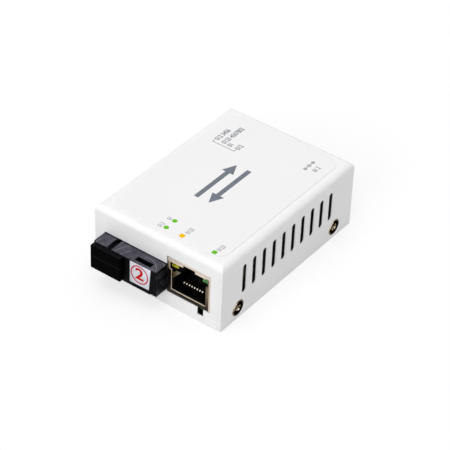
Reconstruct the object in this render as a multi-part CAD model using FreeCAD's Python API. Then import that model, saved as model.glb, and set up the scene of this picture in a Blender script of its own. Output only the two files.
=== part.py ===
import FreeCAD, Part
import math
import os

# Fibre media converter: a folded steel case round one circuit board, with a single-fibre optical
# transceiver and a shielded network jack at the front, and a DC inlet and a mode switch at the rear.
# Millimetres. The origin is the middle of the underside. +X runs right along the front face,
# +Y runs from front to rear, +Z is up.

os.makedirs("parts", exist_ok=True)

V = FreeCAD.Vector

# ---------------------------------------------------------------- case
port_margin_left = 4.1      # case's left side to the transceiver
port_margin_right = 4.6     # network jack to the case's right side
board_middle = 35.55        # clear length of board between the jack and the DC inlet
headroom = 7.7              # over the transceiver, where the light pipe runs
cover_sheet = 1.0
cover_bend_inside = 0.9
cover_lift = 0.2            # the skirt ends this far above the tray's underside
corner_seam = 0.12          # slit where the end flanges meet the side flanges
skirt_corner_radius = 1.5
window_corner_radius = 0.3
window_gap = 0.2            # round every port in the case's ends

tray_sheet = 1.0
tray_gap = 0.3              # between the tray and the cover
tray_bend_inside = 0.6
tray_flange_height = 8.2
tray_flange_setback = 2.6   # the flanges stop this far short of the tray's ends

vent_count = 10
vent_pitch = 5.15
vent_width = 2.0
vent_bottom = 9.0
vent_top = 19.9
vent_first_setback = 11.45  # behind the case's front

overlay_inset = 3.1
overlay_radius = 4.5
overlay_thickness = 0.2

# ---------------------------------------------------------------- case screws
case_screw_setback = 9.15   # from the case's front or rear
case_screw_z = 3.9
screw_radius = 1.5
screw_length = 4.4
head_radius = 2.65
head_sink = 0.15            # the head lies this far below the case's side
recess_width = 0.75
recess_length = 3.0
recess_depth = 0.95
recess_turn = 20.0          # degrees the arms stand from level
dimple_mouth_radius = 3.25
dimple_lead = 0.35          # depth of the shallow lead-in round the head
dimple_depth = 1.9
screw_rim = 0.2             # height of the head's round edge
seat_gap = 0.1              # head to countersink, measured on the radius
hole_gap = 0.15             # shank to the cover's hole
dimple_wall = 0.25          # sheet left round the mouth of a dimple
thread_gap = 0.05           # shank to threaded hole
dimple_gap = 0.15           # cover's dimple to the tray's dimple

# ---------------------------------------------------------------- circuit board
board_bottom = 4.0
board_thickness = 1.6
board_side_gap = 0.4        # to the tray's flanges
board_end_gap = 0.35        # to the cover's ends
board_corner_radius = 1.0
board_screw_radius = 1.25
board_screw_head_radius = 2.2
board_screw_head_height = 1.6
board_screw_reach = 2.4     # below the board
board_screw_gap = 0.15
board_screw_inset = 2.9     # from the board's side edge
board_screw_setbacks = (4.55, 3.75, 16.9)   # behind the jack, behind the transceiver, before the board's end
standoff_across_flats = 4.5
standoff_shoulder = 0.6     # step down to the part that is riveted into the tray
standoff_rivet_rise = 0.2   # rivet's end above the tray's underside
screw_clearance_gap = 0.4   # between the board and a case screw's tip or dimple
lead_gap = 0.12             # round a lead in its hole in the board
lead_below_board = 0.8
rest_gap = 0.02             # under what sits on the board

# ---------------------------------------------------------------- optical transceiver
optic_width = 24.8
optic_length = 39.6
optic_nose = 5.6            # how far it stands out of the case
optic_lift = 0.8            # above the board
optic_height = 9.9
port_pitch = 12.7           # between the two bays of the moulding
port_width = 9.3
port_height = 7.7
port_depth = 14.0
port_rise = 0.05            # port centre above the moulding's own centre
key_slot_width = 2.0
key_slot_length = 8.4
blank_slot_width = 6.2
blank_slot_length = 1.9
blank_slot_depth = 2.0
blank_slot_setback = 0.9
nose_edge_radius = 0.3
nose_step_depth = 0.3       # shallow step low on the outer front corner
nose_step_height = 3.8
nose_step_width = 2.3
barrel_radius = 2.3
barrel_length = 8.0
barrel_seat = 1.2           # how far the barrel goes into the port's back wall
barrel_bevel = 0.3
sleeve_radius = 1.6
sleeve_setback = 0.4        # behind the barrel's front
sleeve_bore_radius = 1.25
sleeve_slit = 0.25
clip_thickness = 0.6
clip_height = 3.4
clip_length = 8.0
clip_offset = 3.35
clip_hook = 0.5
clip_hook_length = 1.0
clip_bend = 0.8
pin_count = 9
pin_pitch = 2.54
pin_size = 0.46
pin_row_setback = 3.0
optic_relief_gap = 0.4      # pocket in the moulding's underside round the row of pins
optic_relief_height = 1.5
optic_relief_start = 3.0    # behind the port's back wall
optic_relief_wall = 1.2
post_radius = 0.95
post_front_setback = 12.6
post_spacing = 20.32

sticker_size = 8.2
sticker_thickness = 0.1
sticker_top_gap = 0.3
sticker_offset_x = 0.35     # off the blank bay's centre
sticker_radius = 0.15

cap_width = 12.1
cap_height = 9.1
cap_flange = 1.7
cap_stand_off = 0.2         # between the cap's flange and the transceiver's face
cap_plug_length = 5.5
cap_plug_gap = 0.08
cap_wall = 1.0
cap_edge_radius = 0.5
cap_groove = 0.14
cap_plug_bevel = 0.4

# ---------------------------------------------------------------- network jack
jack_width = 16.5
jack_height = 13.8
jack_length = 21.0
jack_recess = 0.2           # the shield's face behind the case's face
shield_sheet = 0.3
shield_mouth_width = 13.3
shield_mouth_bottom = 1.5
shield_mouth_top = 1.6      # height of the strip above the mouth
shield_lamp_width = 14.8
shield_lamp_height = 2.9
shield_notch_width = 4.7
shield_notch_rise = 0.9
shield_leg_width = 1.6
shield_leg_setback = 16.5
finger_thickness = 0.25
finger_width = 2.2
finger_path = ((0.0, 0.0), (1.2, 0.15), (3.6, 0.6), (5.4, 0.1))     # behind the face, into the mouth
finger_bend = 0.6
finger_pocket_gap = 0.8     # behind a finger's end
finger_height_above_mouth = 4.2
housing_setback = 0.7       # the insert behind the shield's face
housing_rear_gap = 2.0      # room for the lamps' leads behind the insert
housing_bevel = 0.35
housing_relief_wall = 1.2   # round the hollow in the insert's underside
housing_relief_height = 0.8
tunnel_height = 0.9         # passage for the contacts behind the socket
tunnel_side_gap = 0.2
finger_pocket_wall = 0.6
finger_pocket_rise = 0.3    # over and under a finger
socket_width = 11.9
socket_floor = 1.9          # above the jack's underside
socket_height = 7.1
socket_depth = 12.8
latch_slot_width = 6.2
latch_slot_height = 1.6
latch_step_width = 4.2
latch_step_height = 1.2
contact_count = 8
contact_pitch = 1.016
contact_size = 0.4
contact_bend = 0.5
contact_knuckle_setback = 2.4
contact_knuckle_lean = 0.5  # knuckle's top leans this far over its foot
contact_knuckle_rise = 1.9
contact_tip_setback = 9.6
contact_tip_rise = 5.3
contact_tail_setback = 15.6
comb_tooth = 0.4
comb_reach = 1.6            # teeth in front of the contacts' tips, and below them
comb_rise = 1.2             # teeth above the tips
lamp_width = 3.0
lamp_height = 2.7
lamp_length = 5.5
lamp_drop = 1.5             # lamp top below the shield's outside
lamp_from_side = 0.8
lamp_setback = 0.1          # behind the insert's face
lamp_edge_radius = 0.5
lamp_lead = 0.45
lamp_lead_pitch = 1.6
lamp_lead_bend = 0.6

notch_width = 2.3           # small cut-out in the case under the jack
notch_height = 2.9
notch_offset_x = 4.9

# ---------------------------------------------------------------- status lamps in the top
status_from_jack = 4.95
status_setbacks = (9.65, 5.45)              # behind the case's front
status_window_radius = 1.1
pipe_size = 2.0
pipe_bend = 2.0
pipe_foot_setbacks = (5.65, 2.65)           # behind the transceiver
pipe_run_rises = (4.3, 1.6)                 # run's centre line above the transceiver
pipe_web_width = 2.0
pipe_web_setbacks = (5.0, 21.0)             # webs between the runs, before the lower foot
pipe_foot_web = (2.0, 6.0)                  # web between the feet, above their ends
pipe_peg_lift = 0.3
pipe_top_gap = 0.3
pipe_led_gap = 0.25
status_led_height = 0.8
pipe_peg = 0.8

# ---------------------------------------------------------------- DC inlet
inlet_from_side = 12.5
inlet_width = 9.0
inlet_height = 11.0
inlet_length = 13.6
inlet_recess = 0.15
inlet_bore_radius = 3.15
inlet_bore_depth = 9.2
inlet_bore_rise = 6.5
inlet_pin_radius = 1.05
inlet_pin_length = 8.4
inlet_pin_root = 2.0        # how far the pin goes into the wall behind the bore
inlet_pin_point = 0.5
inlet_lead_size = 1.0
inlet_shoulder_drop = 2.2
inlet_face_depth = 3.4      # full-width block behind the rear face
inlet_barrel_wall = 1.15
inlet_spring_gap = 0.2
inlet_spring_slot_end = 1.6  # before the rear face
inlet_spring_thickness = 0.3
inlet_spring_width = 2.4
inlet_spring_lift = 0.8     # seat above the inlet's underside
inlet_spring_bend = 0.8
inlet_spring_path = ((0.4, 0.0), (3.6, 0.0), (5.4, 1.9), (7.2, 1.2))    # from the bore's back: along, up
inlet_lead_setbacks = (1.6, 7.0, 4.3)       # behind the inlet's front; the last one stands aside
inlet_lead_aside = 3.6
inlet_lead_root = 0.6

# ---------------------------------------------------------------- mode switch
switch_from_side = 12.25
switch_width = 11.8
switch_height = 7.6
switch_length = 6.2
switch_recess = 0.5
switch_edge_radius = 0.3
lever_count = 4
lever_pitch = 2.54
lever_width = 1.2
lever_height = 1.3
lever_edge_radius = 0.15
lever_stand_out = 0.75
lever_travel = 1.2
lever_gap = 0.12
lever_foot_width = 1.7
lever_foot_height = 2.0
lever_foot_depth = 0.9
lever_face_wall = 0.8
lever_slot_rise = 2.0
switch_lead_size = 0.5
switch_lead_setback = 1.2
switch_lead_root = 0.6

# ---------------------------------------------------------------- parts on the board
lead_sheet = 0.15
package_bevel = 0.3
chip_inset = 13.8           # centre to the board's right edge
chip_gap = 3.9              # to the magnetics in front of it
chip_size = 14.0
chip_height = 1.5
chip_leads_a_side = 10
chip_lead_length = 1.2
chip_lead_width = 0.5
magnetics_gap = 2.25        # to the jack's back
magnetics_offset_x = -1.8
magnetics_width = 12.0
magnetics_length = 8.4
magnetics_height = 5.6
magnetics_bevel = 0.5
crystal_beside_pipe = 3.95  # centre to the light pipe's centre
crystal_offset_y = 2.5      # behind the chip's centre
crystal_width = 4.6
crystal_length = 11.2
crystal_height = 3.5
crystal_end_radius = 2.25   # the ends are all but half round
can_inset = 9.0             # centre to the board's left edge
can_setbacks = (6.45, 13.45)                # behind the transceiver
can_radius = 3.15
can_height = 7.7
can_foot = 0.8
can_foot_width = 6.6
can_foot_chamfer = 1.2
inductor_offset = (-7.5, -0.5)              # from the regulator's centre
inductor_size = 7.3
inductor_height = 3.2
inductor_ring = 0.35
regulator_offset = (-8.5, 2.0)              # from the middle of the DC inlet's front
regulator_width = 3.5
regulator_length = 6.5
regulator_height = 1.7
memory_offset = (-1.25, -6.05)              # from the middle of the mode switch's front
memory_width = 4.9
memory_length = 3.9
memory_height = 1.6
leg_sheet = 0.25
leg_length = 1.3
leg_width = 0.5
leg_pitch = 1.27
small_length = 1.6
small_width = 0.8
small_height = 0.7
small_beside_chip = [(9.4, -9.1), (9.4, -6.5), (9.4, -2.5), (9.4, 0.0), (9.4, 2.5), (-9.5, 9.7), (-6.5, 10.3),
                     (-3.5, 11.1)]
small_beside_memory = [(-2.6, 4.1), (3.8, -1.5), (3.8, 1.5)]

# ---------------------------------------------------------------- derived places
case_width = port_margin_left + optic_width + jack_width + port_margin_right
case_depth = jack_recess + jack_length + board_middle + inlet_length + inlet_recess
front = -case_depth / 2
rear = case_depth / 2
side = case_width / 2
inner_front = front + cover_sheet
inner_rear = rear - cover_sheet
inner_side = side - cover_sheet
board_top = board_bottom + board_thickness
part_seat = board_top + rest_gap
seat_radius = head_radius + seat_gap
dimple_boss_radius = seat_radius + dimple_wall
boss_radius = dimple_boss_radius + dimple_gap + dimple_wall
rivet_radius = standoff_across_flats / 2 - standoff_shoulder
tray_side = inner_side - tray_gap
tray_inner_side = tray_side - tray_sheet
board_side = tray_inner_side - board_side_gap
board_front = inner_front + board_end_gap
board_rear = inner_rear - board_end_gap
lead_end = board_bottom - lead_below_board

optic_front = front - optic_nose
optic_rear = optic_front + optic_length
optic_bottom = board_top + optic_lift
optic_top = optic_bottom + optic_height
optic_left = -side + port_margin_left
optic_right = optic_left + optic_width
optic_centre_x = (optic_left + optic_right) / 2
inner_top = optic_top + headroom
case_height = inner_top + cover_sheet
port_x = optic_centre_x - port_pitch / 2
blank_x = optic_centre_x + port_pitch / 2
port_z = (optic_bottom + optic_top) / 2 + port_rise
port_back = optic_front + port_depth

jack_front = front + jack_recess
jack_rear = jack_front + jack_length
jack_bottom = board_top + rest_gap
jack_top = jack_bottom + jack_height
jack_left = optic_right
jack_right = jack_left + jack_width
jack_centre_x = (jack_left + jack_right) / 2
housing_front = jack_front + housing_setback
housing_rear = jack_rear - shield_sheet - housing_rear_gap
socket_bottom = jack_bottom + socket_floor
socket_back = jack_front + socket_depth
lamp_top = jack_top - lamp_drop
lamp_left_x = jack_left + lamp_from_side + lamp_width / 2
lamp_right_x = jack_right - lamp_from_side - lamp_width / 2
lamp_lead_y = jack_rear - shield_sheet - housing_rear_gap / 2
contact_tail_y = jack_front + contact_tail_setback
contact_xs = [jack_centre_x + (i - (contact_count - 1) / 2) * contact_pitch for i in range(contact_count)]

status_x = optic_right - status_from_jack
status_y = [front + setback for setback in status_setbacks]
pipe_foot_y = [optic_rear + setback for setback in pipe_foot_setbacks]
pipe_foot_middle = sum(pipe_foot_y) / 2
pipe_run_z = [optic_top + rise for rise in pipe_run_rises]

inlet_rear = rear - inlet_recess
inlet_centre_x = side - inlet_from_side
inlet_front = inlet_rear - inlet_length
inlet_bottom = board_top + rest_gap
inlet_axis_z = inlet_bottom + inlet_bore_rise

switch_rear = rear - switch_recess
switch_centre_x = -side + switch_from_side
switch_front = switch_rear - switch_length
switch_bottom = board_top + rest_gap
lever_xs = [switch_centre_x + (i - (lever_count - 1) / 2) * lever_pitch for i in range(lever_count)]
lever_low_z = switch_bottom + lever_slot_rise + lever_gap
lever_foot_y = switch_rear - lever_face_wall - lever_gap

screw_x = board_side - board_screw_inset
board_screw_places = [(screw_x, jack_rear + board_screw_setbacks[0]),
                      (-screw_x, optic_rear + board_screw_setbacks[1]),
                      (screw_x, board_rear - board_screw_setbacks[2]),
                      (-screw_x, board_rear - board_screw_setbacks[2])]
magnetics_place = (jack_centre_x + magnetics_offset_x, jack_rear + magnetics_gap + magnetics_length / 2)
chip_place = (board_side - chip_inset, magnetics_place[1] + magnetics_length / 2 + chip_gap + chip_size / 2)
crystal_place = (status_x - crystal_beside_pipe, chip_place[1] + crystal_offset_y)
capacitor_places = [(-board_side + can_inset, optic_rear + setback) for setback in can_setbacks]
regulator_place = (inlet_centre_x + regulator_offset[0], inlet_front + regulator_offset[1])
inductor_place = (regulator_place[0] + inductor_offset[0], regulator_place[1] + inductor_offset[1])
memory_place = (switch_centre_x + memory_offset[0], switch_front + memory_offset[1])
small_places = [(centre[0] + x, centre[1] + y)
                for centre, offsets in ((chip_place, small_beside_chip), (memory_place, small_beside_memory))
                for x, y in offsets]

optic_pin_y = optic_rear - pin_row_setback
optic_pin_xs = [optic_centre_x + (i - (pin_count - 1) / 2) * pin_pitch for i in range(pin_count)]
optic_post_xs = [optic_centre_x - post_spacing / 2, optic_centre_x + post_spacing / 2]
optic_post_y = optic_front + post_front_setback
shield_leg_y = jack_front + shield_leg_setback
inlet_leads = [(inlet_centre_x - aside, inlet_front + setback)
               for aside, setback in zip((0, 0, inlet_lead_aside), inlet_lead_setbacks)]
switch_lead_ys = [switch_front + switch_lead_setback, switch_front + switch_lead_setback + lever_pitch]


# ---------------------------------------------------------------- shape helpers
def box(x0, x1, y0, y1, z0, z1):
    """Block between two corners."""
    return Part.makeBox(x1 - x0, y1 - y0, z1 - z0, V(x0, y0, z0))


def block(x, y, z0, width, length, height):
    """Block centred on x, y, standing on z0."""
    return box(x - width / 2, x + width / 2, y - length / 2, y + length / 2, z0, z0 + height)


def rod(x, y, z0, z1, radius):
    """Upright cylinder."""
    return Part.makeCylinder(radius, z1 - z0, V(x, y, z0))


def rod_along_y(x, z, y0, y1, radius):
    """Round bar along Y."""
    return Part.makeCylinder(radius, y1 - y0, V(x, y0, z), V(0, 1, 0))


def turned(profile, origin, axis):
    """Solid of revolution; the profile is a list of (distance along the axis, radius)."""
    outline = Part.makePolygon([V(r, 0, h) for h, r in profile + profile[:1]])
    solid = Part.Face(outline).revolve(V(0, 0, 0), V(0, 0, 1), 360)
    solid.Placement = FreeCAD.Placement(origin, FreeCAD.Rotation(V(0, 0, 1), axis))
    return solid


def edges_along(shape, axis, keep=lambda middle: True):
    """Straight edges parallel to an axis (0, 1 or 2) whose middle passes the test."""
    found = []
    for edge in shape.Edges:
        if len(edge.Vertexes) == 2:
            run = edge.Vertexes[1].Point - edge.Vertexes[0].Point
            off_axis = [abs(run[k]) for k in range(3) if k != axis]
            if max(off_axis) < 1e-6 and abs(run[axis]) > 1e-6 and keep(edge.CenterOfMass):
                found.append(edge)
    return found


def rounded_block(x0, x1, y0, y1, z0, z1, radius, axis=2):
    """Block with its four edges along one axis rounded."""
    plain = box(x0, x1, y0, y1, z0, z1)
    return plain.makeFillet(radius, edges_along(plain, axis))


def slot(x0, x1, y, z0, z1, width):
    """Upright slot with round ends, cut along X."""
    half = width / 2
    corners = [V(x0, y - half, z0 + half), V(x0, y - half, z1 - half),
               V(x0, y + half, z1 - half), V(x0, y + half, z0 + half)]
    outline = Part.Wire([Part.LineSegment(corners[0], corners[1]).toShape(),
                         Part.Arc(corners[1], V(x0, y, z1), corners[2]).toShape(),
                         Part.LineSegment(corners[2], corners[3]).toShape(),
                         Part.Arc(corners[3], V(x0, y, z0), corners[0]).toShape()])
    return Part.Face(outline).extrude(V(x1 - x0, 0, 0))


def strip(points, thickness, bend_radius, to_space, width_vector):
    """Flat strip bent along a path: points are (a, b) on its centre line and to_space maps them."""
    steps = [(V(*points[i + 1], 0) - V(*points[i], 0)).normalize() for i in range(len(points) - 1)]
    half = thickness / 2
    sides = {}
    for hand in (1, -1):
        edges = []
        left = [V(-d.y, d.x, 0) * (half * hand) for d in steps]
        start = V(*points[0], 0) + left[0]
        for i in range(1, len(points) - 1):
            before, after = steps[i - 1], steps[i]
            turn = before.getAngle(after)
            sign = 1 if before.cross(after).z > 0 else -1
            reach = bend_radius * math.tan(turn / 2)
            corner = V(*points[i], 0)
            centre = corner - before * reach + V(-before.y, before.x, 0) * (bend_radius * sign)
            radius = bend_radius - half * hand * sign
            first = corner - before * reach + left[i - 1]
            last = corner + after * reach + left[i]
            middle = centre + (corner - centre).normalize() * radius
            edges.append((start, first))
            edges.append((first, middle, last))
            start = last
        edges.append((start, V(*points[-1], 0) + left[-1]))
        sides[hand] = edges
    far_end = (sides[1][-1][-1], sides[-1][-1][-1])
    near_end = (sides[-1][0][0], sides[1][0][0])
    joined = sides[1] + [far_end] + sides[-1] + [near_end]
    built = []
    for run in joined:
        places = [to_space(p.x, p.y) for p in run]
        curve = Part.LineSegment(*places) if len(places) == 2 else Part.Arc(*places)
        built.append(curve.toShape())
    outline = Part.Wire(Part.__sortEdges__(built))
    return Part.Face(outline).extrude(width_vector)


def save(name, *solids):
    """Write one piece, or a group of identical pieces, as a STEP file."""
    shape = solids[0] if len(solids) == 1 else Part.makeCompound(list(solids))
    shape.exportStep("parts/" + name + ".step")


# ---------------------------------------------------------------- case
def screw_places():
    """Side (+1 right, -1 left), y and z of each case screw."""
    ys = (front + case_screw_setback, rear - case_screw_setback)
    return [(s, y, case_screw_z) for s in (1, -1) for y in ys]


def folded_cover():
    """Top and four flanges of one folded sheet, with its windows, vents and screw dimples."""
    bend_outside = cover_bend_inside + cover_sheet
    outer = box(-side, side, front, rear, cover_lift, case_height)
    top_edges = [e for axis in (0, 1) for e in edges_along(outer, axis, lambda m: m.z > case_height - 0.01)]
    outer = outer.makeFillet(bend_outside, top_edges)
    inner = box(-inner_side, inner_side, inner_front, inner_rear, -1, inner_top)
    top_edges = [e for axis in (0, 1) for e in edges_along(inner, axis, lambda m: m.z > inner_top - 0.01)]
    inner = inner.makeFillet(cover_bend_inside, top_edges)
    shell = outer.cut(inner)
    for s, y, z in screw_places():
        shell = shell.fuse(cover_dimple(s, y, z))
    return shell.cut(cover_cuts()).removeSplitter()


def rod_inward(s, y, z, near, far, radius):
    """Round bar square to a side wall, near and far being depths below the side's face."""
    return Part.makeCylinder(radius, far - near, V(s * (side - near), y, z), V(-s, 0, 0))


def cover_dimple(s, y, z):
    """The sheet pressed inward round a case screw."""
    return rod_inward(s, y, z, cover_sheet / 2, dimple_depth, dimple_boss_radius)


def cover_dimple_hollow(s, y, z):
    """Lead-in, countersink and clearance hole of a dimple."""
    hole_radius = screw_radius + hole_gap
    countersink_end = dimple_lead + seat_radius - hole_radius
    profile = [(-0.5, 0), (-0.5, dimple_mouth_radius), (0, dimple_mouth_radius),
               (dimple_lead, seat_radius), (countersink_end, hole_radius),
               (dimple_depth + 0.5, hole_radius), (dimple_depth + 0.5, 0)]
    return turned(profile, V(s * side, y, z), V(-s, 0, 0))


def end_window(x0, x1, z0, z1, y_outside):
    """Opening through one end of the cover."""
    return rounded_block(x0, x1, y_outside - cover_sheet * 1.5, y_outside + cover_sheet * 1.5,
                         z0, z1, window_corner_radius, axis=1)


def cover_cuts():
    """Everything that is cut out of the cover."""
    gap = window_gap
    cuts = [cover_dimple_hollow(*place) for place in screw_places()]
    cuts.append(end_window(optic_left - gap, optic_right + gap, optic_bottom - gap, optic_top + gap, front))
    cuts.append(end_window(jack_left - gap, jack_right + gap, jack_bottom - gap, jack_top + gap, front))
    notch_x = jack_centre_x + notch_offset_x
    cuts.append(block(notch_x, front, jack_bottom - notch_height, notch_width, 3 * cover_sheet, notch_height))
    cuts.append(end_window(inlet_centre_x - inlet_width / 2 - gap, inlet_centre_x + inlet_width / 2 + gap,
                           inlet_bottom - gap, inlet_bottom + inlet_height + gap, rear))
    cuts.append(end_window(switch_centre_x - switch_width / 2 - gap, switch_centre_x + switch_width / 2 + gap,
                           switch_bottom - gap, switch_bottom + switch_height + gap, rear))
    for i in range(vent_count):
        y = front + vent_first_setback + i * vent_pitch
        cuts.append(slot(-side - 1, side + 1, y, vent_bottom, vent_top, vent_width))
    for y in status_y:
        cuts.append(rod(status_x, y, inner_top - 1, case_height + 1, status_window_radius))
    seam_top = case_height - cover_bend_inside - cover_sheet
    for sx in (1, -1):
        for sy in (1, -1):
            seam = box(inner_side - corner_seam, inner_side, inner_rear - 0.5, rear + 1, -1, seam_top)
            skirt = box(inner_side, side + 1, rear - skirt_corner_radius, rear + 1, -1,
                        cover_lift + skirt_corner_radius)
            round_off = Part.makeCylinder(skirt_corner_radius, 3 * cover_sheet,
                                          V(inner_side - 1, rear - skirt_corner_radius,
                                            cover_lift + skirt_corner_radius), V(1, 0, 0))
            for shape in (seam, skirt.cut(round_off)):
                if sx < 0:
                    shape = shape.mirror(V(0, 0, 0), V(1, 0, 0))
                if sy < 0:
                    shape = shape.mirror(V(0, 0, 0), V(0, 1, 0))
                cuts.append(shape)
    return Part.makeCompound(cuts)


def base_tray():
    """Bottom sheet with two side flanges, and a threaded dimple for each case screw."""
    mid = tray_sheet / 2
    path = [(-tray_side + mid, tray_flange_height), (-tray_side + mid, mid),
            (tray_side - mid, mid), (tray_side - mid, tray_flange_height)]
    tray_front = inner_front + tray_gap
    tray_rear = inner_rear - tray_gap
    tray = strip(path, tray_sheet, tray_bend_inside + mid, lambda a, b: V(a, tray_front, b),
                 V(0, tray_rear - tray_front, 0))
    for s, y, z in screw_places():
        outer_face = cover_sheet + tray_gap
        bottom = dimple_depth + dimple_gap
        boss_end = bottom + tray_sheet
        tray = tray.fuse(rod_inward(s, y, z, outer_face + tray_sheet / 2, boss_end, boss_radius))
        tray = tray.cut(rod_inward(s, y, z, 0, bottom, dimple_boss_radius + dimple_gap))
        tray = tray.cut(rod_inward(s, y, z, 0, boss_end + 1, screw_radius + thread_gap))
    ends = []
    for sy in (1, -1):
        y0, y1 = sorted((sy * (tray_rear - tray_flange_setback), sy * (tray_rear + 1)))
        ends.append(box(-side, side, y0, y1, tray_sheet + tray_bend_inside, case_height))
    tray = tray.cut(Part.makeCompound(ends))
    for x, y in board_screw_places:
        tray = tray.cut(rod(x, y, -1, tray_sheet + 1, rivet_radius))
    return tray.removeSplitter()


def case_screw(s, y, z):
    """Countersunk screw with a cross recess, its axis along X."""
    rim_end = head_sink + screw_rim
    tip = head_sink + screw_length
    profile = [(head_sink, 0), (head_sink, head_radius), (rim_end, head_radius),
               (rim_end + head_radius - screw_radius, screw_radius), (tip, screw_radius), (tip, 0)]
    solid = turned(profile, V(s * side, y, z), V(-s, 0, 0))
    return solid.cut(cross_recess(V(s * (side - head_sink), y, z), V(-s, 0, 0)))


def cross_recess(face_centre, axis):
    """Four-armed driver recess, sunk from the head's face."""
    half_long = recess_length / 2
    half_wide = recess_width / 2
    arms = [box(-half_long, half_long, -half_wide, half_wide, -recess_depth, recess_depth),
            box(-half_wide, half_wide, -half_long, half_long, -recess_depth, recess_depth)]
    recess = arms[0].fuse(arms[1])
    recess.rotate(V(0, 0, 0), V(0, 0, 1), recess_turn)
    recess.Placement = FreeCAD.Placement(face_centre, FreeCAD.Rotation(V(0, 0, 1), axis)) * recess.Placement
    return recess


def label_overlay():
    """Thin printed sheet on the top."""
    return rounded_block(-side + overlay_inset, side - overlay_inset,
                         front + overlay_inset, rear - overlay_inset,
                         case_height, case_height + overlay_thickness, overlay_radius)


# ---------------------------------------------------------------- circuit board
def board_lead_holes():
    """x, y and side length of every lead that goes through the board."""
    holes = [(x, optic_pin_y, pin_size) for x in optic_pin_xs]
    holes += [(x, contact_tail_y, contact_size) for x in contact_xs]
    for x in (lamp_left_x, lamp_right_x):
        holes += [(x + d, lamp_lead_y, lamp_lead) for d in (-lamp_lead_pitch / 2, lamp_lead_pitch / 2)]
    holes += [(x, shield_leg_y, shield_leg_width)
              for x in (jack_left + shield_sheet / 2, jack_right - shield_sheet / 2)]
    holes += [(x, y, inlet_lead_size) for x, y in inlet_leads]
    holes += [(x, y, switch_lead_size) for x in lever_xs for y in switch_lead_ys]
    holes.append((status_x, pipe_foot_middle, pipe_peg))
    return holes


def circuit_board():
    """Board with its lead holes, screw holes and room for the case screws."""
    board = rounded_block(-board_side, board_side, board_front, board_rear, board_bottom, board_top,
                          board_corner_radius)
    cuts = [block(x, y, board_bottom - 1, size + 2 * lead_gap, size + 2 * lead_gap, board_thickness + 2)
            for x, y, size in board_lead_holes()]
    cuts += [rod(x, y, board_bottom - 1, board_top + 1, board_screw_radius + board_screw_gap)
             for x, y in board_screw_places]
    cuts += [rod(x, optic_post_y, board_bottom - 1, board_top + 1, post_radius + lead_gap)
             for x in optic_post_xs]
    reach = side - head_sink - screw_length - screw_clearance_gap
    half = boss_radius + screw_clearance_gap
    for s, y, z in screw_places():
        x0, x1 = sorted((s * reach, s * side))
        notch = box(x0, x1, y - half, y + half, board_bottom - 1, board_top + 1)
        inner_edges = edges_along(notch, 2, lambda m: abs(m.x) < reach + 0.01)
        cuts.append(notch.makeFillet(board_corner_radius, inner_edges))
    return board.cut(Part.makeCompound(cuts)).removeSplitter()


def standoff(x, y):
    """Hexagonal standoff riveted into the tray, drilled for the board's screw."""
    radius = standoff_across_flats / 2 / math.cos(math.pi / 6)
    corners = [V(x + radius * math.cos(k * math.pi / 3), y + radius * math.sin(k * math.pi / 3), tray_sheet)
               for k in range(6)]
    body = Part.Face(Part.makePolygon(corners + corners[:1])).extrude(V(0, 0, board_bottom - tray_sheet))
    rivet = rod(x, y, standoff_rivet_rise, tray_sheet, rivet_radius)
    hole = rod(x, y, board_bottom - board_screw_reach - standoff_rivet_rise, board_bottom + 1,
               board_screw_radius + thread_gap)
    return body.fuse(rivet).cut(hole).removeSplitter()


def board_screw(x, y):
    """Cheese-head screw that holds the board on a standoff."""
    profile = [(-board_screw_reach, 0), (-board_screw_reach, board_screw_radius),
               (board_thickness, board_screw_radius), (board_thickness, board_screw_head_radius),
               (board_thickness + board_screw_head_height, board_screw_head_radius),
               (board_thickness + board_screw_head_height, 0)]
    return turned(profile, V(x, y, board_bottom), V(0, 0, 1))


# ---------------------------------------------------------------- optical transceiver
def transceiver_body():
    """Moulded housing with the open fibre port on the left and a blank bay on the right."""
    body = box(optic_left, optic_right, optic_front, optic_rear, optic_bottom, optic_top)
    upper_edges = edges_along(body, 0, lambda m: m.z > port_z)
    body = body.makeFillet(nose_edge_radius, edges_along(body, 2) + upper_edges)
    port = box(port_x - port_width / 2, port_x + port_width / 2, optic_front - 1, port_back,
               port_z - port_height / 2, port_z + port_height / 2)
    key = box(port_x - key_slot_width / 2, port_x + key_slot_width / 2, optic_front - 1,
              optic_front + key_slot_length, port_z, optic_top + 1)
    slot_front = optic_front + blank_slot_setback
    slot = box(blank_x - blank_slot_width / 2, blank_x + blank_slot_width / 2, slot_front,
               slot_front + blank_slot_length, optic_top - blank_slot_depth, optic_top + 1)
    step = box(optic_right - nose_step_width, optic_right + 1, optic_front - 1, optic_front + nose_step_depth,
               optic_bottom - 1, optic_bottom + nose_step_height)
    seat = rod_along_y(port_x, port_z, port_back, port_back + barrel_seat, barrel_radius)
    beside = pin_size / 2 + optic_relief_gap
    relief = box(optic_pin_xs[0] - beside, optic_pin_xs[-1] + beside, port_back + optic_relief_start,
                 optic_rear - optic_relief_wall, optic_bottom - 1, optic_bottom + optic_relief_height)
    return body.cut(Part.makeCompound([port, key, slot, step, seat, relief])).removeSplitter()


def optical_barrel():
    """Turned metal barrel in the back of the port that carries the ferrule sleeve."""
    front_y = port_back - barrel_length
    profile = [(0, sleeve_radius), (0, barrel_radius - barrel_bevel), (barrel_bevel, barrel_radius),
               (barrel_length + barrel_seat, barrel_radius), (barrel_length + barrel_seat, 0),
               (barrel_length, 0), (barrel_length, sleeve_radius)]
    return turned(profile, V(port_x, front_y, port_z), V(0, 1, 0))


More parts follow.
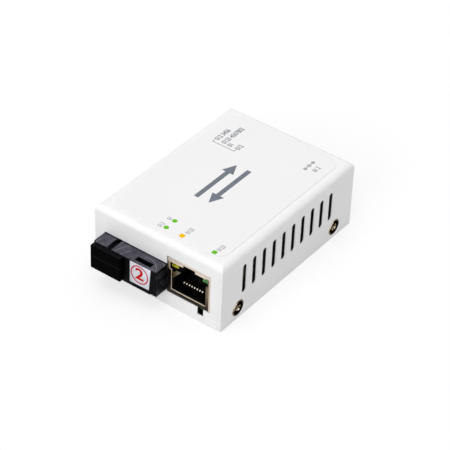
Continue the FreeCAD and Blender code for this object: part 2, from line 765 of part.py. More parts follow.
def ferrule_sleeve():
    """Split ceramic sleeve inside the barrel."""
    front_y = port_back - barrel_length + sleeve_setback
    length = barrel_length - sleeve_setback
    sleeve = turned([(0, sleeve_bore_radius), (0, sleeve_radius), (length, sleeve_radius),
                     (length, sleeve_bore_radius)], V(port_x, front_y, port_z), V(0, 1, 0))
    slit = box(port_x - sleeve_slit / 2, port_x + sleeve_slit / 2, front_y - 1, front_y + length + 1,
               port_z, port_z + barrel_radius)
    return sleeve.cut(slit)


def latch_clip(hand):
    """One of the two hooks beside the barrel that hold a fibre plug."""
    x = port_x + hand * clip_offset
    tip = port_back - clip_length
    path = [(port_back, 0), (tip + clip_hook_length, 0), (tip, -hand * clip_hook)]
    return strip(path, clip_thickness, clip_bend,
                 lambda a, b: V(x + b, a, port_z - clip_height / 2), V(0, 0, clip_height))


def transceiver_pins():
    """One row of nine pins, and two posts, through the board."""
    pins = [block(x, optic_pin_y, lead_end, pin_size, pin_size,
                  optic_bottom + optic_relief_height - lead_end)
            for x in optic_pin_xs]
    posts = [rod(x, optic_post_y, lead_end, optic_bottom, post_radius) for x in optic_post_xs]
    return pins + posts


def transceiver_sticker():
    """Small square sticker on the front of the blank bay."""
    x = blank_x - sticker_offset_x
    top = optic_top - sticker_top_gap
    return rounded_block(x - sticker_size / 2, x + sticker_size / 2,
                         optic_front - sticker_thickness, optic_front,
                         top - sticker_size, top, sticker_radius, axis=1)


def dust_cap():
    """Moulded cap: a flange in front of the port and a hollow plug inside it."""
    flange_rear = optic_front - cap_stand_off
    flange_front = flange_rear - cap_flange
    flange = box(port_x - cap_width / 2, port_x + cap_width / 2, flange_front, flange_rear,
                 port_z - cap_height / 2, port_z + cap_height / 2)
    front_edges = [e for axis in (0, 2)
                   for e in edges_along(flange, axis, lambda m: m.y < flange_front + 0.01)]
    flange = flange.makeFillet(cap_edge_radius, front_edges + edges_along(flange, 1))
    groove = box(port_x - cap_width, port_x + cap_width, flange_front - 1, flange_front + cap_groove,
                 port_z - cap_groove, port_z + cap_groove)
    half_wide = port_width / 2 - cap_plug_gap
    half_high = port_height / 2 - cap_plug_gap
    plug_end = optic_front + cap_plug_length
    plug = box(port_x - half_wide, port_x + half_wide, flange_rear - 0.5, plug_end,
               port_z - half_high, port_z + half_high)
    plug_edges = [e for axis in (0, 2) for e in edges_along(plug, axis, lambda m: m.y > plug_end - 0.01)]
    plug = plug.makeChamfer(cap_plug_bevel, plug_edges)
    hollow = box(port_x - half_wide + cap_wall, port_x + half_wide - cap_wall, flange_rear, plug_end + 1,
                 port_z - half_high + cap_wall, port_z + half_high - cap_wall)
    return flange.cut(groove).fuse(plug).cut(hollow).removeSplitter()


# ---------------------------------------------------------------- network jack
def jack_mouth(y0, y1):
    """Opening in the shield's face: the socket, the two lamp corners and the latch notch."""
    bottom = jack_bottom + shield_mouth_bottom
    top = jack_top - shield_mouth_top
    c = jack_centre_x
    mouth = box(c - shield_mouth_width / 2, c + shield_mouth_width / 2, y0, y1, bottom, top)
    lamps = box(c - shield_lamp_width / 2, c + shield_lamp_width / 2, y0, y1, top - shield_lamp_height, top)
    notch = box(c - shield_notch_width / 2, c + shield_notch_width / 2, y0, y1,
                bottom, top + shield_notch_rise)
    return mouth.fuse([lamps, notch])


def jack_shield():
    """Folded shield: five walls, two solder legs and a spring finger in each side of the mouth."""
    t = shield_sheet
    outer = box(jack_left, jack_right, jack_front, jack_rear, jack_bottom, jack_top)
    round_edges = edges_along(outer, 1, lambda m: m.z > jack_top - 0.01)
    round_edges += edges_along(outer, 2, lambda m: m.y > jack_rear - 0.01)
    outer = outer.makeFillet(2 * t, round_edges)
    inner = box(jack_left + t, jack_right - t, jack_front + t, jack_rear - t, jack_bottom - 1, jack_top - t)
    shield = outer.cut(inner).cut(jack_mouth(jack_front - 1, jack_front + t + 0.01))
    for x0 in (jack_left, jack_right - t):
        shield = shield.fuse(box(x0, x0 + t, shield_leg_y - shield_leg_width / 2,
                                 shield_leg_y + shield_leg_width / 2, lead_end, jack_bottom + 1))
    finger_z = jack_bottom + shield_mouth_bottom + finger_height_above_mouth
    half = shield_mouth_width / 2
    path = [(jack_front + along, -half + inward) for along, inward in finger_path]
    for hand in (1, -1):
        finger = strip(path, finger_thickness, finger_bend,
                       lambda a, b: V(jack_centre_x + hand * b, a, finger_z), V(0, 0, finger_width))
        shield = shield.fuse(finger)
    return shield.removeSplitter()


def lamp_channel(x, y0, y1, gap):
    """Channel in the insert that a lamp and its leads lie in."""
    return box(x - lamp_width / 2 - gap, x + lamp_width / 2 + gap, y0, y1, lamp_top - lamp_height - gap,
               lamp_top + gap)


def jack_housing():
    """Moulded insert: socket, latch slot, contact comb, lamp channels and room for the contact tails."""
    t = shield_sheet + rest_gap
    c = jack_centre_x
    body = box(jack_left + t, jack_right - t, housing_front, housing_rear, jack_bottom, jack_top - t)
    body = body.makeChamfer(housing_bevel, edges_along(body, 1, lambda m: m.z > jack_top - 1))
    socket_top = socket_bottom + socket_height
    mouth = housing_front - 1
    latch_top = socket_top + latch_slot_height
    socket = box(c - socket_width / 2, c + socket_width / 2, mouth, socket_back, socket_bottom, socket_top)
    latch = box(c - latch_slot_width / 2, c + latch_slot_width / 2, mouth, socket_back,
                socket_bottom, latch_top)
    step = box(c - latch_step_width / 2, c + latch_step_width / 2, mouth, socket_back,
               socket_bottom, latch_top + latch_step_height)
    half_row = contact_count * contact_pitch / 2 + tunnel_side_gap
    tail_back = contact_tail_y + contact_size
    tunnel_top = socket_bottom + tunnel_height
    tunnel = box(c - half_row, c + half_row, socket_back - 1, tail_back, socket_bottom, tunnel_top)
    shaft = box(c - half_row, c + half_row, contact_tail_y - contact_bend - contact_size / 2, tail_back,
                jack_bottom - 1, tunnel_top)
    pocket_z = jack_bottom + shield_mouth_bottom + finger_height_above_mouth
    pocket_side = t + finger_pocket_wall
    pockets = box(jack_left + pocket_side, jack_right - pocket_side, mouth,
                  jack_front + finger_path[-1][0] + finger_pocket_gap,
                  pocket_z - finger_pocket_rise, pocket_z + finger_width + finger_pocket_rise)
    wall = housing_relief_wall
    floor_relief = box(jack_left + wall, jack_right - wall, housing_front + wall, housing_rear - wall,
                       jack_bottom - 1, jack_bottom + housing_relief_height)
    lamps = [lamp_channel(x, mouth, housing_rear + 1, rest_gap)
             for x in (lamp_left_x, lamp_right_x)]
    body = body.cut(Part.makeCompound([socket, latch, step, tunnel, shaft, pockets, floor_relief] + lamps))
    comb_front = jack_front + contact_tip_setback - comb_reach
    tip_z = socket_bottom + contact_tip_rise
    teeth = [box(c + (i - contact_count / 2) * contact_pitch - comb_tooth / 2,
                 c + (i - contact_count / 2) * contact_pitch + comb_tooth / 2,
                 comb_front, socket_back, tip_z - comb_reach, tip_z + comb_rise)
             for i in range(contact_count + 1)]
    return body.fuse(teeth).removeSplitter()


def jack_contact(x):
    """Spring contact: tail in the board, along the floor, round the knuckle and up to the comb."""
    rest = socket_bottom + contact_size / 2
    knuckle_y = jack_front + contact_knuckle_setback
    path = [(contact_tail_y, rest), (knuckle_y + contact_knuckle_lean, rest),
            (knuckle_y, socket_bottom + contact_knuckle_rise),
            (jack_front + contact_tip_setback, socket_bottom + contact_tip_rise)]
    spring = strip(path, contact_size, contact_bend, lambda a, b: V(x - contact_size / 2, a, b),
                   V(contact_size, 0, 0))
    half = contact_size / 2
    tail = box(x - half, x + half, contact_tail_y - half, contact_tail_y + half, lead_end, rest + half)
    return spring.fuse(tail).removeSplitter()


def jack_lamp(x):
    """Indicator lamp with a rounded front."""
    lamp_front = housing_front + lamp_setback
    lamp = lamp_channel(x, lamp_front, lamp_front + lamp_length, 0)
    front_edges = [e for axis in (0, 2) for e in edges_along(lamp, axis, lambda m: m.y < lamp_front + 0.01)]
    return lamp.makeFillet(lamp_edge_radius, front_edges)


def jack_lamp_leads(x):
    """Two leads of one lamp: back along the channel and down through the board."""
    z = lamp_top - lamp_height / 2
    start = housing_front + lamp_setback + lamp_length
    path = [(start, z), (lamp_lead_y, z), (lamp_lead_y, lead_end)]
    return [strip(path, lamp_lead, lamp_lead_bend,
                  lambda a, b: V(x + d - lamp_lead / 2, a, b), V(lamp_lead, 0, 0))
            for d in (-lamp_lead_pitch / 2, lamp_lead_pitch / 2)]


# ---------------------------------------------------------------- status lamps
def status_light_pipe():
    """Two clear rods, one above the other over the transceiver, joined by webs, with a peg in the board."""
    foot = board_top + status_led_height + pipe_led_gap
    half = pipe_size / 2
    rods = []
    for foot_y, run, window_y in zip(pipe_foot_y, pipe_run_z, status_y):
        path = [(foot_y, foot), (foot_y, run), (window_y, run), (window_y, inner_top - pipe_top_gap)]
        rods.append(strip(path, pipe_size, pipe_bend,
                          lambda a, b: V(status_x - half, a, b), V(pipe_size, 0, 0)))
    webs = [box(status_x - half, status_x + half, pipe_foot_y[1] + half, pipe_foot_y[0] - half,
                foot + pipe_foot_web[0], foot + pipe_foot_web[1])]
    for setback in pipe_web_setbacks:
        y = pipe_foot_y[1] - setback
        webs.append(box(status_x - half, status_x + half, y - pipe_web_width, y, pipe_run_z[1] + half,
                        pipe_run_z[0] - half))
    peg_bottom = board_bottom + pipe_peg_lift
    peg_height = foot + pipe_foot_web[1] - peg_bottom
    peg = block(status_x, pipe_foot_middle, peg_bottom, pipe_peg, pipe_peg, peg_height)
    return rods[0].fuse([rods[1], peg] + webs).removeSplitter()


def status_leds():
    """Small lamps on the board under the feet of the light pipe."""
    return [block(status_x, y, board_top + rest_gap, 1.6, 1.8, status_led_height) for y in pipe_foot_y]


# ---------------------------------------------------------------- DC inlet
def power_jack_body():
    """Moulded body with a stepped top and a round bore that faces the rear."""
    x, z = inlet_centre_x, inlet_axis_z
    half = inlet_width / 2
    top = inlet_bottom + inlet_height
    bore_back = inlet_rear - inlet_bore_depth
    body = box(x - half, x + half, inlet_front, inlet_rear, inlet_bottom, top)
    shoulders = box(x - half - 1, x + half + 1, inlet_front - 1, inlet_rear - inlet_face_depth,
                    top - inlet_shoulder_drop, top + 1)
    barrel = rod_along_y(x, z, inlet_front, inlet_rear, inlet_bore_radius + inlet_barrel_wall)
    body = body.cut(shoulders.cut(barrel))
    body = body.cut(rod_along_y(x, z, bore_back, inlet_rear, inlet_bore_radius))
    body = body.cut(rod_along_y(x, z, bore_back - inlet_pin_root, bore_back, inlet_pin_radius))
    spring_half = inlet_spring_width / 2 + inlet_spring_gap
    body = body.cut(box(x - spring_half, x + spring_half, bore_back + inlet_spring_gap,
                        inlet_rear - inlet_spring_slot_end, inlet_bottom + inlet_spring_lift, z))
    leads = [block(lead_x, y, inlet_bottom - 1, inlet_lead_size, inlet_lead_size, 1 + inlet_lead_root)
             for lead_x, y in inlet_leads]
    return body.cut(Part.makeCompound(leads)).removeSplitter()


def power_jack_pin():
    """Round centre pin."""
    start = inlet_rear - inlet_bore_depth - inlet_pin_root
    length = inlet_pin_length + inlet_pin_root
    profile = [(0, 0), (0, inlet_pin_radius), (length - inlet_pin_point, inlet_pin_radius),
               (length, inlet_pin_radius - inlet_pin_point), (length, 0)]
    return turned(profile, V(inlet_centre_x, start, inlet_axis_z), V(0, 1, 0))


def power_jack_spring():
    """Bowed leaf in the floor of the bore."""
    low = inlet_bottom + inlet_spring_lift + inlet_spring_thickness / 2
    back = inlet_rear - inlet_bore_depth
    path = [(back + along, low + up) for along, up in inlet_spring_path]
    return strip(path, inlet_spring_thickness, inlet_spring_bend,
                 lambda a, b: V(inlet_centre_x - inlet_spring_width / 2, a, b), V(inlet_spring_width, 0, 0))


def power_jack_terminals():
    """Three solder terminals."""
    return [block(x, y, lead_end, inlet_lead_size, inlet_lead_size, inlet_bottom + inlet_lead_root - lead_end)
            for x, y in inlet_leads]


# ---------------------------------------------------------------- mode switch
def dip_switch_body():
    """Body with a slot and a pocket for each lever, facing the rear."""
    half = switch_width / 2
    body = rounded_block(switch_centre_x - half, switch_centre_x + half, switch_front, switch_rear,
                         switch_bottom, switch_bottom + switch_height, switch_edge_radius, axis=1)
    cuts = []
    for x in lever_xs:
        z0 = lever_low_z - lever_gap
        z1 = lever_low_z + lever_height + lever_travel + lever_gap
        cuts.append(box(x - lever_width / 2 - lever_gap, x + lever_width / 2 + lever_gap,
                        switch_rear - 2, switch_rear + 1, z0, z1))
        over = (lever_foot_height - lever_height) / 2
        cuts.append(box(x - lever_foot_width / 2 - lever_gap, x + lever_foot_width / 2 + lever_gap,
                        lever_foot_y - lever_foot_depth - lever_gap, switch_rear - lever_face_wall,
                        z0 - over, z1 + over))
    leads = [block(x, y, switch_bottom - 1, switch_lead_size, switch_lead_size, 1 + switch_lead_root)
             for x in lever_xs for y in switch_lead_ys]
    return body.cut(Part.makeCompound(cuts + leads)).removeSplitter()


def dip_lever(x):
    """One lever: a knob through the slot and a wider foot behind it."""
    knob = box(x - lever_width / 2, x + lever_width / 2, lever_foot_y, switch_rear + lever_stand_out,
               lever_low_z, lever_low_z + lever_height)
    knob = knob.makeFillet(lever_edge_radius, edges_along(knob, 0, lambda m: m.y > switch_rear))
    over = (lever_foot_height - lever_height) / 2
    foot = box(x - lever_foot_width / 2, x + lever_foot_width / 2,
               lever_foot_y - lever_foot_depth, lever_foot_y,
               lever_low_z - over, lever_low_z + lever_height + over)
    return knob.fuse(foot).removeSplitter()


def dip_switch_pins():
    """Two rows of leads under the switch."""
    length = switch_bottom + switch_lead_root - lead_end
    return [block(x, y, lead_end, switch_lead_size, switch_lead_size, length)
            for x in lever_xs for y in switch_lead_ys]


# ---------------------------------------------------------------- parts on the board
def switch_chip():
    """Square chip with bevelled edges."""
    body = block(*chip_place, part_seat + lead_sheet, chip_size, chip_size, chip_height)
    bevelled = edges_along(body, 2)
    for axis in (0, 1):
        bevelled += edges_along(body, axis, lambda m: m.z > part_seat + chip_height)
    return body.makeChamfer(package_bevel, bevelled)


def switch_chip_leads():
    """Flat leads on all four sides of the chip."""
    x, y = chip_place
    reach = chip_size / 2 + chip_lead_length / 2
    pitch = (chip_size - 2) / (chip_leads_a_side - 1)
    leads = []
    for i in range(chip_leads_a_side):
        offset = (i - (chip_leads_a_side - 1) / 2) * pitch
        for s in (1, -1):
            leads.append(block(x + offset, y + s * reach, part_seat,
                               chip_lead_width, chip_lead_length, lead_sheet))
            leads.append(block(x + s * reach, y + offset, part_seat,
                               chip_lead_length, chip_lead_width, lead_sheet))
    return leads


def magnetics_module():
    """Moulded transformer block between the jack and the chip."""
    body = block(*magnetics_place, part_seat, magnetics_width, magnetics_length, magnetics_height)
    middle = part_seat + magnetics_height / 2
    return body.makeChamfer(magnetics_bevel, edges_along(body, 0, lambda m: m.z > middle))


def crystal_can():
    """Flat-topped metal can with round ends."""
    x, y = crystal_place
    return rounded_block(x - crystal_width / 2, x + crystal_width / 2,
                         y - crystal_length / 2, y + crystal_length / 2,
                         part_seat, part_seat + crystal_height, crystal_end_radius)


def capacitor(x, y):
    """Round can on a square foot with two cut corners."""
    foot = block(x, y, part_seat, can_foot_width, can_foot_width, can_foot)
    foot = foot.makeChamfer(can_foot_chamfer, edges_along(foot, 2, lambda m: m.x > x))
    return foot.fuse(rod(x, y, part_seat + can_foot, part_seat + can_height, can_radius))


def power_inductor():
    """Shielded square inductor with cut corners and a round core face in a shallow ring."""
    x, y = inductor_place
    top = part_seat + inductor_height
    body = block(x, y, part_seat, inductor_size, inductor_size, inductor_height)
    body = body.makeChamfer(inductor_size * 0.18, edges_along(body, 2))
    ring = rod(x, y, top - inductor_ring, top + 1, inductor_size * 0.4)
    core = rod(x, y, top - 2 * inductor_ring, top, inductor_size * 0.4 - inductor_ring)
    return body.cut(ring).fuse(core).removeSplitter()


def voltage_regulator():
    """Small package with a wide tab on one side and three legs on the other."""
    x, y = regulator_place
    body = block(x, y, part_seat, regulator_width, regulator_length, regulator_height)
    middle = part_seat + regulator_height / 2
    body = body.makeChamfer(package_bevel, edges_along(body, 1, lambda m: m.z > middle))
    reach = regulator_width / 2 + leg_length / 2
    tab = block(x - reach, y, part_seat, leg_length, regulator_length / 2, leg_sheet)
    legs = [block(x + reach, y + i * regulator_length * 0.35, part_seat, leg_length, leg_width, leg_sheet)
            for i in (-1, 0, 1)]
    return body.fuse([tab] + legs).removeSplitter()


def memory_chip():
    """Eight-legged chip."""
    x, y = memory_place
    body = block(x, y, part_seat, memory_width, memory_length, memory_height)
    reach = memory_length / 2 + leg_length / 2
    legs = [block(x + (i - 1.5) * leg_pitch, y + s * reach, part_seat, leg_width, leg_length, leg_sheet)
            for i in range(4) for s in (1, -1)]
    return body.fuse(legs).removeSplitter()


def small_components():
    """Resistors and ceramic capacitors."""
    return [block(x, y, part_seat, small_length, small_width, small_height) for x, y in small_places]


# ---------------------------------------------------------------- write every piece
save("top_cover", folded_cover())
save("base_tray", base_tray())
save("case_screws", *[case_screw(*place) for place in screw_places()])
save("label_overlay", label_overlay())
save("circuit_board", circuit_board())
save("board_standoffs", *[standoff(x, y) for x, y in board_screw_places])
save("board_screws", *[board_screw(x, y) for x, y in board_screw_places])
save("transceiver_body", transceiver_body())
save("optical_barrel", optical_barrel())
save("ferrule_sleeve", ferrule_sleeve())
save("latch_clips", latch_clip(1), latch_clip(-1))
save("transceiver_pins", *transceiver_pins())
save("transceiver_sticker", transceiver_sticker())
save("dust_cap", dust_cap())
save("jack_shield", jack_shield())
save("jack_housing", jack_housing())
save("jack_contacts", *[jack_contact(x) for x in contact_xs])
save("jack_led_yellow", jack_lamp(lamp_left_x))
save("jack_led_green", jack_lamp(lamp_right_x))
save("jack_led_leads", *(jack_lamp_leads(lamp_left_x) + jack_lamp_leads(lamp_right_x)))
save("status_light_pipe", status_light_pipe())
save("status_leds", *status_leds())
save("power_jack_body", power_jack_body())
save("power_jack_pin", power_jack_pin())
save("power_jack_spring", power_jack_spring())
save("power_jack_terminals", *power_jack_terminals())
save("dip_switch_body", dip_switch_body())
for number, lever_x in enumerate(lever_xs, 1):
    save("dip_lever_" + str(number), dip_lever(lever_x))
save("dip_switch_pins", *dip_switch_pins())
save("switch_chip", switch_chip())
save("switch_chip_leads", *switch_chip_leads())
save("magnetics_module", magnetics_module())
save("crystal_can", crystal_can())
save("capacitors", *[capacitor(x, y) for x, y in capacitor_places])
save("power_inductor", power_inductor())
save("voltage_regulator", voltage_regulator())
save("memory_chip", memory_chip())
save("small_components", *small_components())
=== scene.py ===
"""Looks of a small fibre media converter: a white steel box with a fibre port and a network jack."""
import math
import bpy
import numpy as np
from mathutils import Matrix, Vector


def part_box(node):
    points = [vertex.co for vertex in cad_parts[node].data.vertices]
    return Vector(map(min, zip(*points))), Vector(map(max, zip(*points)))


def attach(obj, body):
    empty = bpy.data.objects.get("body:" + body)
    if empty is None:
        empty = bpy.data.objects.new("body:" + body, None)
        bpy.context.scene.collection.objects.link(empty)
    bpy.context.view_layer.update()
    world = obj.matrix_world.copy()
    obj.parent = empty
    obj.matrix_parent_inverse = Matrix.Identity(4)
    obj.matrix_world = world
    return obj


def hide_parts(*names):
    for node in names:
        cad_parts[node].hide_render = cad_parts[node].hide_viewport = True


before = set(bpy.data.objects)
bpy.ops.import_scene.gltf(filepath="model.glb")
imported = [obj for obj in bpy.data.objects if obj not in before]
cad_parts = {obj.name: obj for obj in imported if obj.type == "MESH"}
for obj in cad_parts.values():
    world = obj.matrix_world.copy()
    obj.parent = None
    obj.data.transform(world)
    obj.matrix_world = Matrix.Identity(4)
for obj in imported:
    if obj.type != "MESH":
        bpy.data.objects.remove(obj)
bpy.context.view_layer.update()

MM = 0.001
case_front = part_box("top_cover")[0][1] / MM


def in_mm(corners):
    """The low and the high corner of a box, from metres to millimetres."""
    return [[c / MM for c in corner] for corner in corners]


# ---------------------------------------------------------------- mesh helpers
def linear(hex_colour):
    """An sRGB hex colour as linear RGBA."""
    parts = [int(hex_colour[i:i + 2], 16) / 255 for i in (1, 3, 5)]
    return tuple(c / 12.92 if c <= 0.04045 else ((c + 0.055) / 1.055) ** 2.4 for c in parts) + (1.0,)


def piece(name, points, faces, finish, body="case", smooth=True, values=None):
    """A mesh of points in millimetres that rides on a body. values are named numbers, one for each point."""
    mesh = bpy.data.meshes.new(name)
    mesh.from_pydata((np.asarray(points, float) * MM).tolist(), [], [list(map(int, f)) for f in faces])
    mesh.polygons.foreach_set("use_smooth", np.full(len(mesh.polygons), smooth))
    mesh.materials.append(finish)
    for label, numbers in (values or {}).items():
        layer = mesh.attributes.new(label, "FLOAT", "POINT")
        layer.data.foreach_set("value", np.asarray(numbers, np.float32))
    mesh.validate()
    obj = bpy.data.objects.new(name, mesh)
    bpy.context.scene.collection.objects.link(obj)
    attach(obj, body)
    return obj


def net(rows, columns, looped=False):
    """Quads between the rows of a grid of points, closed round its columns, and round its rows if looped."""
    r = np.arange(rows if looped else rows - 1)[:, None]
    c = np.arange(columns)[None, :]
    above = (r + 1) % rows
    after = (c + 1) % columns
    quads = np.stack([r * columns + c, r * columns + after,
                      above * columns + after, above * columns + c], -1)
    return quads.reshape(-1, 4).tolist()


def joined(parts):
    """Several (points, faces) as one."""
    points, faces, first = [], [], 0
    for part_points, part_faces in parts:
        points.append(np.asarray(part_points, float))
        faces += [[first + i for i in f] for f in part_faces]
        first += len(part_points)
    return np.concatenate(points), faces


def rounded_outline(half_u, half_v, radius, inset, steps=10):
    """A rectangle with round corners, drawn inset: each corner's centre plus its shrunk radius."""
    angle = (np.arange(4)[:, None] * np.pi / 2 + np.linspace(0, np.pi / 2, steps)[None, :]).ravel()
    hand_u = np.repeat([1, -1, -1, 1], steps)
    hand_v = np.repeat([1, 1, -1, -1], steps)
    back = max(radius, inset)
    shrunk = max(radius - inset, 0.0)
    return np.stack([hand_u * (half_u - back) + shrunk * np.cos(angle),
                     hand_v * (half_v - back) + shrunk * np.sin(angle)], -1)


def slab(half_u, half_v, radius, rings, place, steps=10):
    """A plate with round corners. Each ring is (inset, height): the outline that far in, at that height.

    place(u, v, height) gives the points in space; the first and last ring are each closed by a flat face."""
    rows = []
    for inset, height in rings:
        flat = rounded_outline(half_u, half_v, radius, inset, steps)
        rows.append(place(flat[:, 0], flat[:, 1], np.full(len(flat), float(height))))
    points = np.concatenate(rows)
    count = 4 * steps
    faces = net(len(rings), count)
    faces.append(list(range(count))[::-1])
    faces.append(list(range(len(points) - count, len(points))))
    return points, faces


def upward(x, y):
    """Places a flat form in XY, with its height along +Z."""
    return lambda u, v, h: np.stack([x + u, y + v, h], -1)


def frontward(x, z):
    """Places a flat form in XZ so that it faces the front: its height runs along -Y."""
    return lambda u, v, h: np.stack([x + u, -h, z + v], -1)


# ---------------------------------------------------------------- material helpers
def add(tree, kind, sockets=None, **settings):
    """A node with its settings, and its sockets given a value or linked from another node's socket."""
    new = tree.nodes.new("ShaderNode" + kind)
    for key, value in settings.items():
        setattr(new, key, value)
    for name, value in (sockets or {}).items():
        if isinstance(value, bpy.types.NodeSocket):
            tree.links.new(value, new.inputs[name])
        else:
            new.inputs[name].default_value = value
    return new


def blank(name):
    """An empty material, its node tree and its output node."""
    made = bpy.data.materials.new(name)
    made.use_nodes = True
    made.node_tree.nodes.clear()
    return made, made.node_tree, add(made.node_tree, "OutputMaterial")


def shades(tree, factor, stops):
    """A colour that goes through (place, hex) stops as factor rises."""
    ramp = add(tree, "ValToRGB", {"Fac": factor})
    while len(ramp.color_ramp.elements) < len(stops):
        ramp.color_ramp.elements.new(0.5)
    for element, (place, hex_colour) in zip(ramp.color_ramp.elements, stops):
        element.position = place
        element.color = linear(hex_colour)
    return ramp.outputs["Color"]


def speckle(tree, size_mm, detail=2.0, rough=0.5, stretch=(1, 1, 1)):
    """Noise on the object's own coordinates whose grain is about size_mm wide."""
    where = add(tree, "TexCoord").outputs["Object"]
    if stretch != (1, 1, 1):
        where = add(tree, "Mapping", {"Vector": where, "Scale": stretch}).outputs["Vector"]
    return add(tree, "TexNoise", {"Vector": where, "Scale": 1 / (size_mm * MM), "Detail": detail,
                                  "Roughness": rough}).outputs["Fac"]


def between(tree, factor, low, high):
    """A number that runs from low to high as factor goes from 0.3 to 0.7, the span noise mostly covers."""
    return add(tree, "MapRange", {"Value": factor, "From Min": 0.3, "From Max": 0.7, "To Min": low,
                                  "To Max": high}).outputs["Result"]


def mixed(tree, factor, first, second):
    """A colour that goes from first to second as factor rises. A mix has its two colours at 6 and 7."""
    mix = add(tree, "Mix", {0: factor}, data_type="RGBA")
    for place, colour in ((6, first), (7, second)):
        if isinstance(colour, str):
            mix.inputs[place].default_value = linear(colour)
        else:
            tree.links.new(colour, mix.inputs[place])
    return mix.outputs[2]


def ramped(tree, value, start, end):
    """A number that goes from 0 to 1 as value goes from start to end."""
    return add(tree, "MapRange", {"Value": value, "From Min": start, "From Max": end, "To Min": 0.0,
                                  "To Max": 1.0}).outputs["Result"]


def along(tree, axis, start_mm, end_mm, folded=False):
    """0 to 1 between two places along an axis; folded takes the distance from the middle instead."""
    where = add(tree, "SeparateXYZ", {"Vector": add(tree, "TexCoord").outputs["Object"]}).outputs[axis]
    if folded:
        where = add(tree, "Math", {0: where}, operation="ABSOLUTE").outputs["Value"]
    return ramped(tree, where, start_mm * MM, end_mm * MM)


def both(tree, first, second):
    """The product of two numbers."""
    return add(tree, "Math", {0: first, 1: second}, operation="MULTIPLY", use_clamp=True).outputs["Value"]


def background_rays(tree):
    """1 for rays that see the background: from the camera, from a reflection or through clear plastic."""
    rays = add(tree, "LightPath").outputs
    mirrored = add(tree, "Math", {0: rays["Is Camera Ray"], 1: rays["Is Glossy Ray"]}, operation="MAXIMUM")
    return add(tree, "Math", {0: mirrored.outputs["Value"], 1: rays["Is Transmission Ray"]},
               operation="MAXIMUM").outputs["Value"]


def surface(name, tones, tone_mm, roughness, rough_mm, bump_mm, bump_depth_mm, edge_mm=0.0,
            stretch=(1, 1, 1), tint=None, **sockets):
    """A solid surface: two or more tones over tone_mm, roughness that wanders over rough_mm, a bumped grain
    and edges that catch the light as if rounded to edge_mm. tint(tree, colour) may change the colour from
    place to place; sockets are set on the shader."""
    made, tree, out = blank(name)
    stops = [(0.3 + 0.4 * i / (len(tones) - 1), tone) for i, tone in enumerate(tones)]
    colour = shades(tree, speckle(tree, tone_mm, 3.0, 0.6, stretch), stops)
    if tint:
        colour = tint(tree, colour)
    rough = between(tree, speckle(tree, rough_mm, 2.0, 0.5, stretch), *roughness)
    bump = {"Height": speckle(tree, bump_mm, 2.0, 0.55, stretch), "Strength": 1.0,
            "Distance": bump_depth_mm * MM}
    if edge_mm:
        bump["Normal"] = add(tree, "Bevel", {"Radius": edge_mm * MM}, samples=4).outputs["Normal"]
    normal = add(tree, "Bump", bump).outputs["Normal"]
    values = {"Base Color": colour, "Roughness": rough, "Normal": normal}
    values.update({key.replace("_", " "): value for key, value in sockets.items()})
    shader = add(tree, "BsdfPrincipled", values)
    tree.links.new(shader.outputs["BSDF"], out.inputs["Surface"])
    return made


def rubbed_plastic(name, tones, dust_and_sheen_tones, rub, right_sheen, roughness, gloss, tint=None):
    """Dark moulded plastic in two base tones. Faces that look up carry a film in two more tones, partly dust
    and partly painted sheen, crossed by arcs of rubbing in the rub tone; a band right against the case keeps
    the base tone as painted shade of the gap. Patches of painted sheen in one more tone lie on faces that
    look right."""
    made, tree, out = blank(name)
    where = add(tree, "TexCoord").outputs["Object"]
    base = shades(tree, speckle(tree, 5.0, 3.0, 0.6), [(0.35, tones[0]), (0.65, tones[1])])
    dust_and_sheen = shades(tree, speckle(tree, 3.5, 4.0, 0.65), [(0.3, dust_and_sheen_tones[0]), (0.7, dust_and_sheen_tones[1])])
    bent = add(tree, "Mapping", {"Vector": where, "Location": (0.002, 0.043, 0)}).outputs["Vector"]
    arcs = add(tree, "TexWave", {"Vector": bent, "Scale": 130.0, "Distortion": 2.5, "Detail": 2.0,
                                 "Detail Scale": 0.6}, wave_type="RINGS", rings_direction="Z").outputs["Fac"]
    patch = ramped(tree, speckle(tree, 5.0), 0.44, 0.56)
    scuffed = mixed(tree, both(tree, ramped(tree, arcs, 0.95, 1.0), patch), dust_and_sheen, rub)
    # Faces that look up take the dust and painted sheen; within 0.1 to 0.5 mm of the case the dark base
    # stays, as painted shade of the gap.
    facing = add(tree, "SeparateXYZ", {"Vector": add(tree, "NewGeometry").outputs["Normal"]})
    open_face = both(tree, ramped(tree, facing.outputs["Z"], 0.45, 0.95),
                     along(tree, "Y", case_front - 0.1, case_front - 0.5))
    # Patches on faces that look right are painted sheen.
    right_sheen_patches = both(tree, ramped(tree, facing.outputs["X"], 0.6, 0.95),
                   ramped(tree, speckle(tree, 3.0), 0.4, 0.65))
    colour = mixed(tree, open_face, mixed(tree, right_sheen_patches, base, right_sheen), scuffed)
    if tint:
        colour = tint(tree, colour)
    rounded = add(tree, "Bevel", {"Radius": 0.15 * MM}, samples=4).outputs["Normal"]
    grain = add(tree, "Bump", {"Height": speckle(tree, 0.25), "Strength": 1.0, "Distance": 0.004 * MM,
                               "Normal": rounded}).outputs["Normal"]
    shader = add(tree, "BsdfPrincipled", {
        "Base Color": colour, "Roughness": between(tree, speckle(tree, 2.0), *roughness), "Normal": grain,
        "Specular IOR Level": gloss, "IOR": 1.5})
    tree.links.new(shader.outputs["BSDF"], out.inputs["Surface"])
    return made


def clear(name, tones, roughness, grain_mm, **sockets):
    """A tinted clear plastic, whose tone and roughness wander a little with the flow of the moulding."""
    made, tree, out = blank(name)
    grain = speckle(tree, grain_mm)
    bump = add(tree, "Bump", {"Height": grain, "Strength": 0.6, "Distance": 0.004 * MM})
    values = {"Base Color": shades(tree, grain, [(0.35, tones[0]), (0.65, tones[1])]),
              "Roughness": between(tree, grain, roughness, roughness + 0.08),
              "Normal": bump.outputs["Normal"]}
    values.update({key.replace("_", " "): value for key, value in sockets.items()})
    shader = add(tree, "BsdfPrincipled", values)
    tree.links.new(shader.outputs["BSDF"], out.inputs["Surface"])
    return made


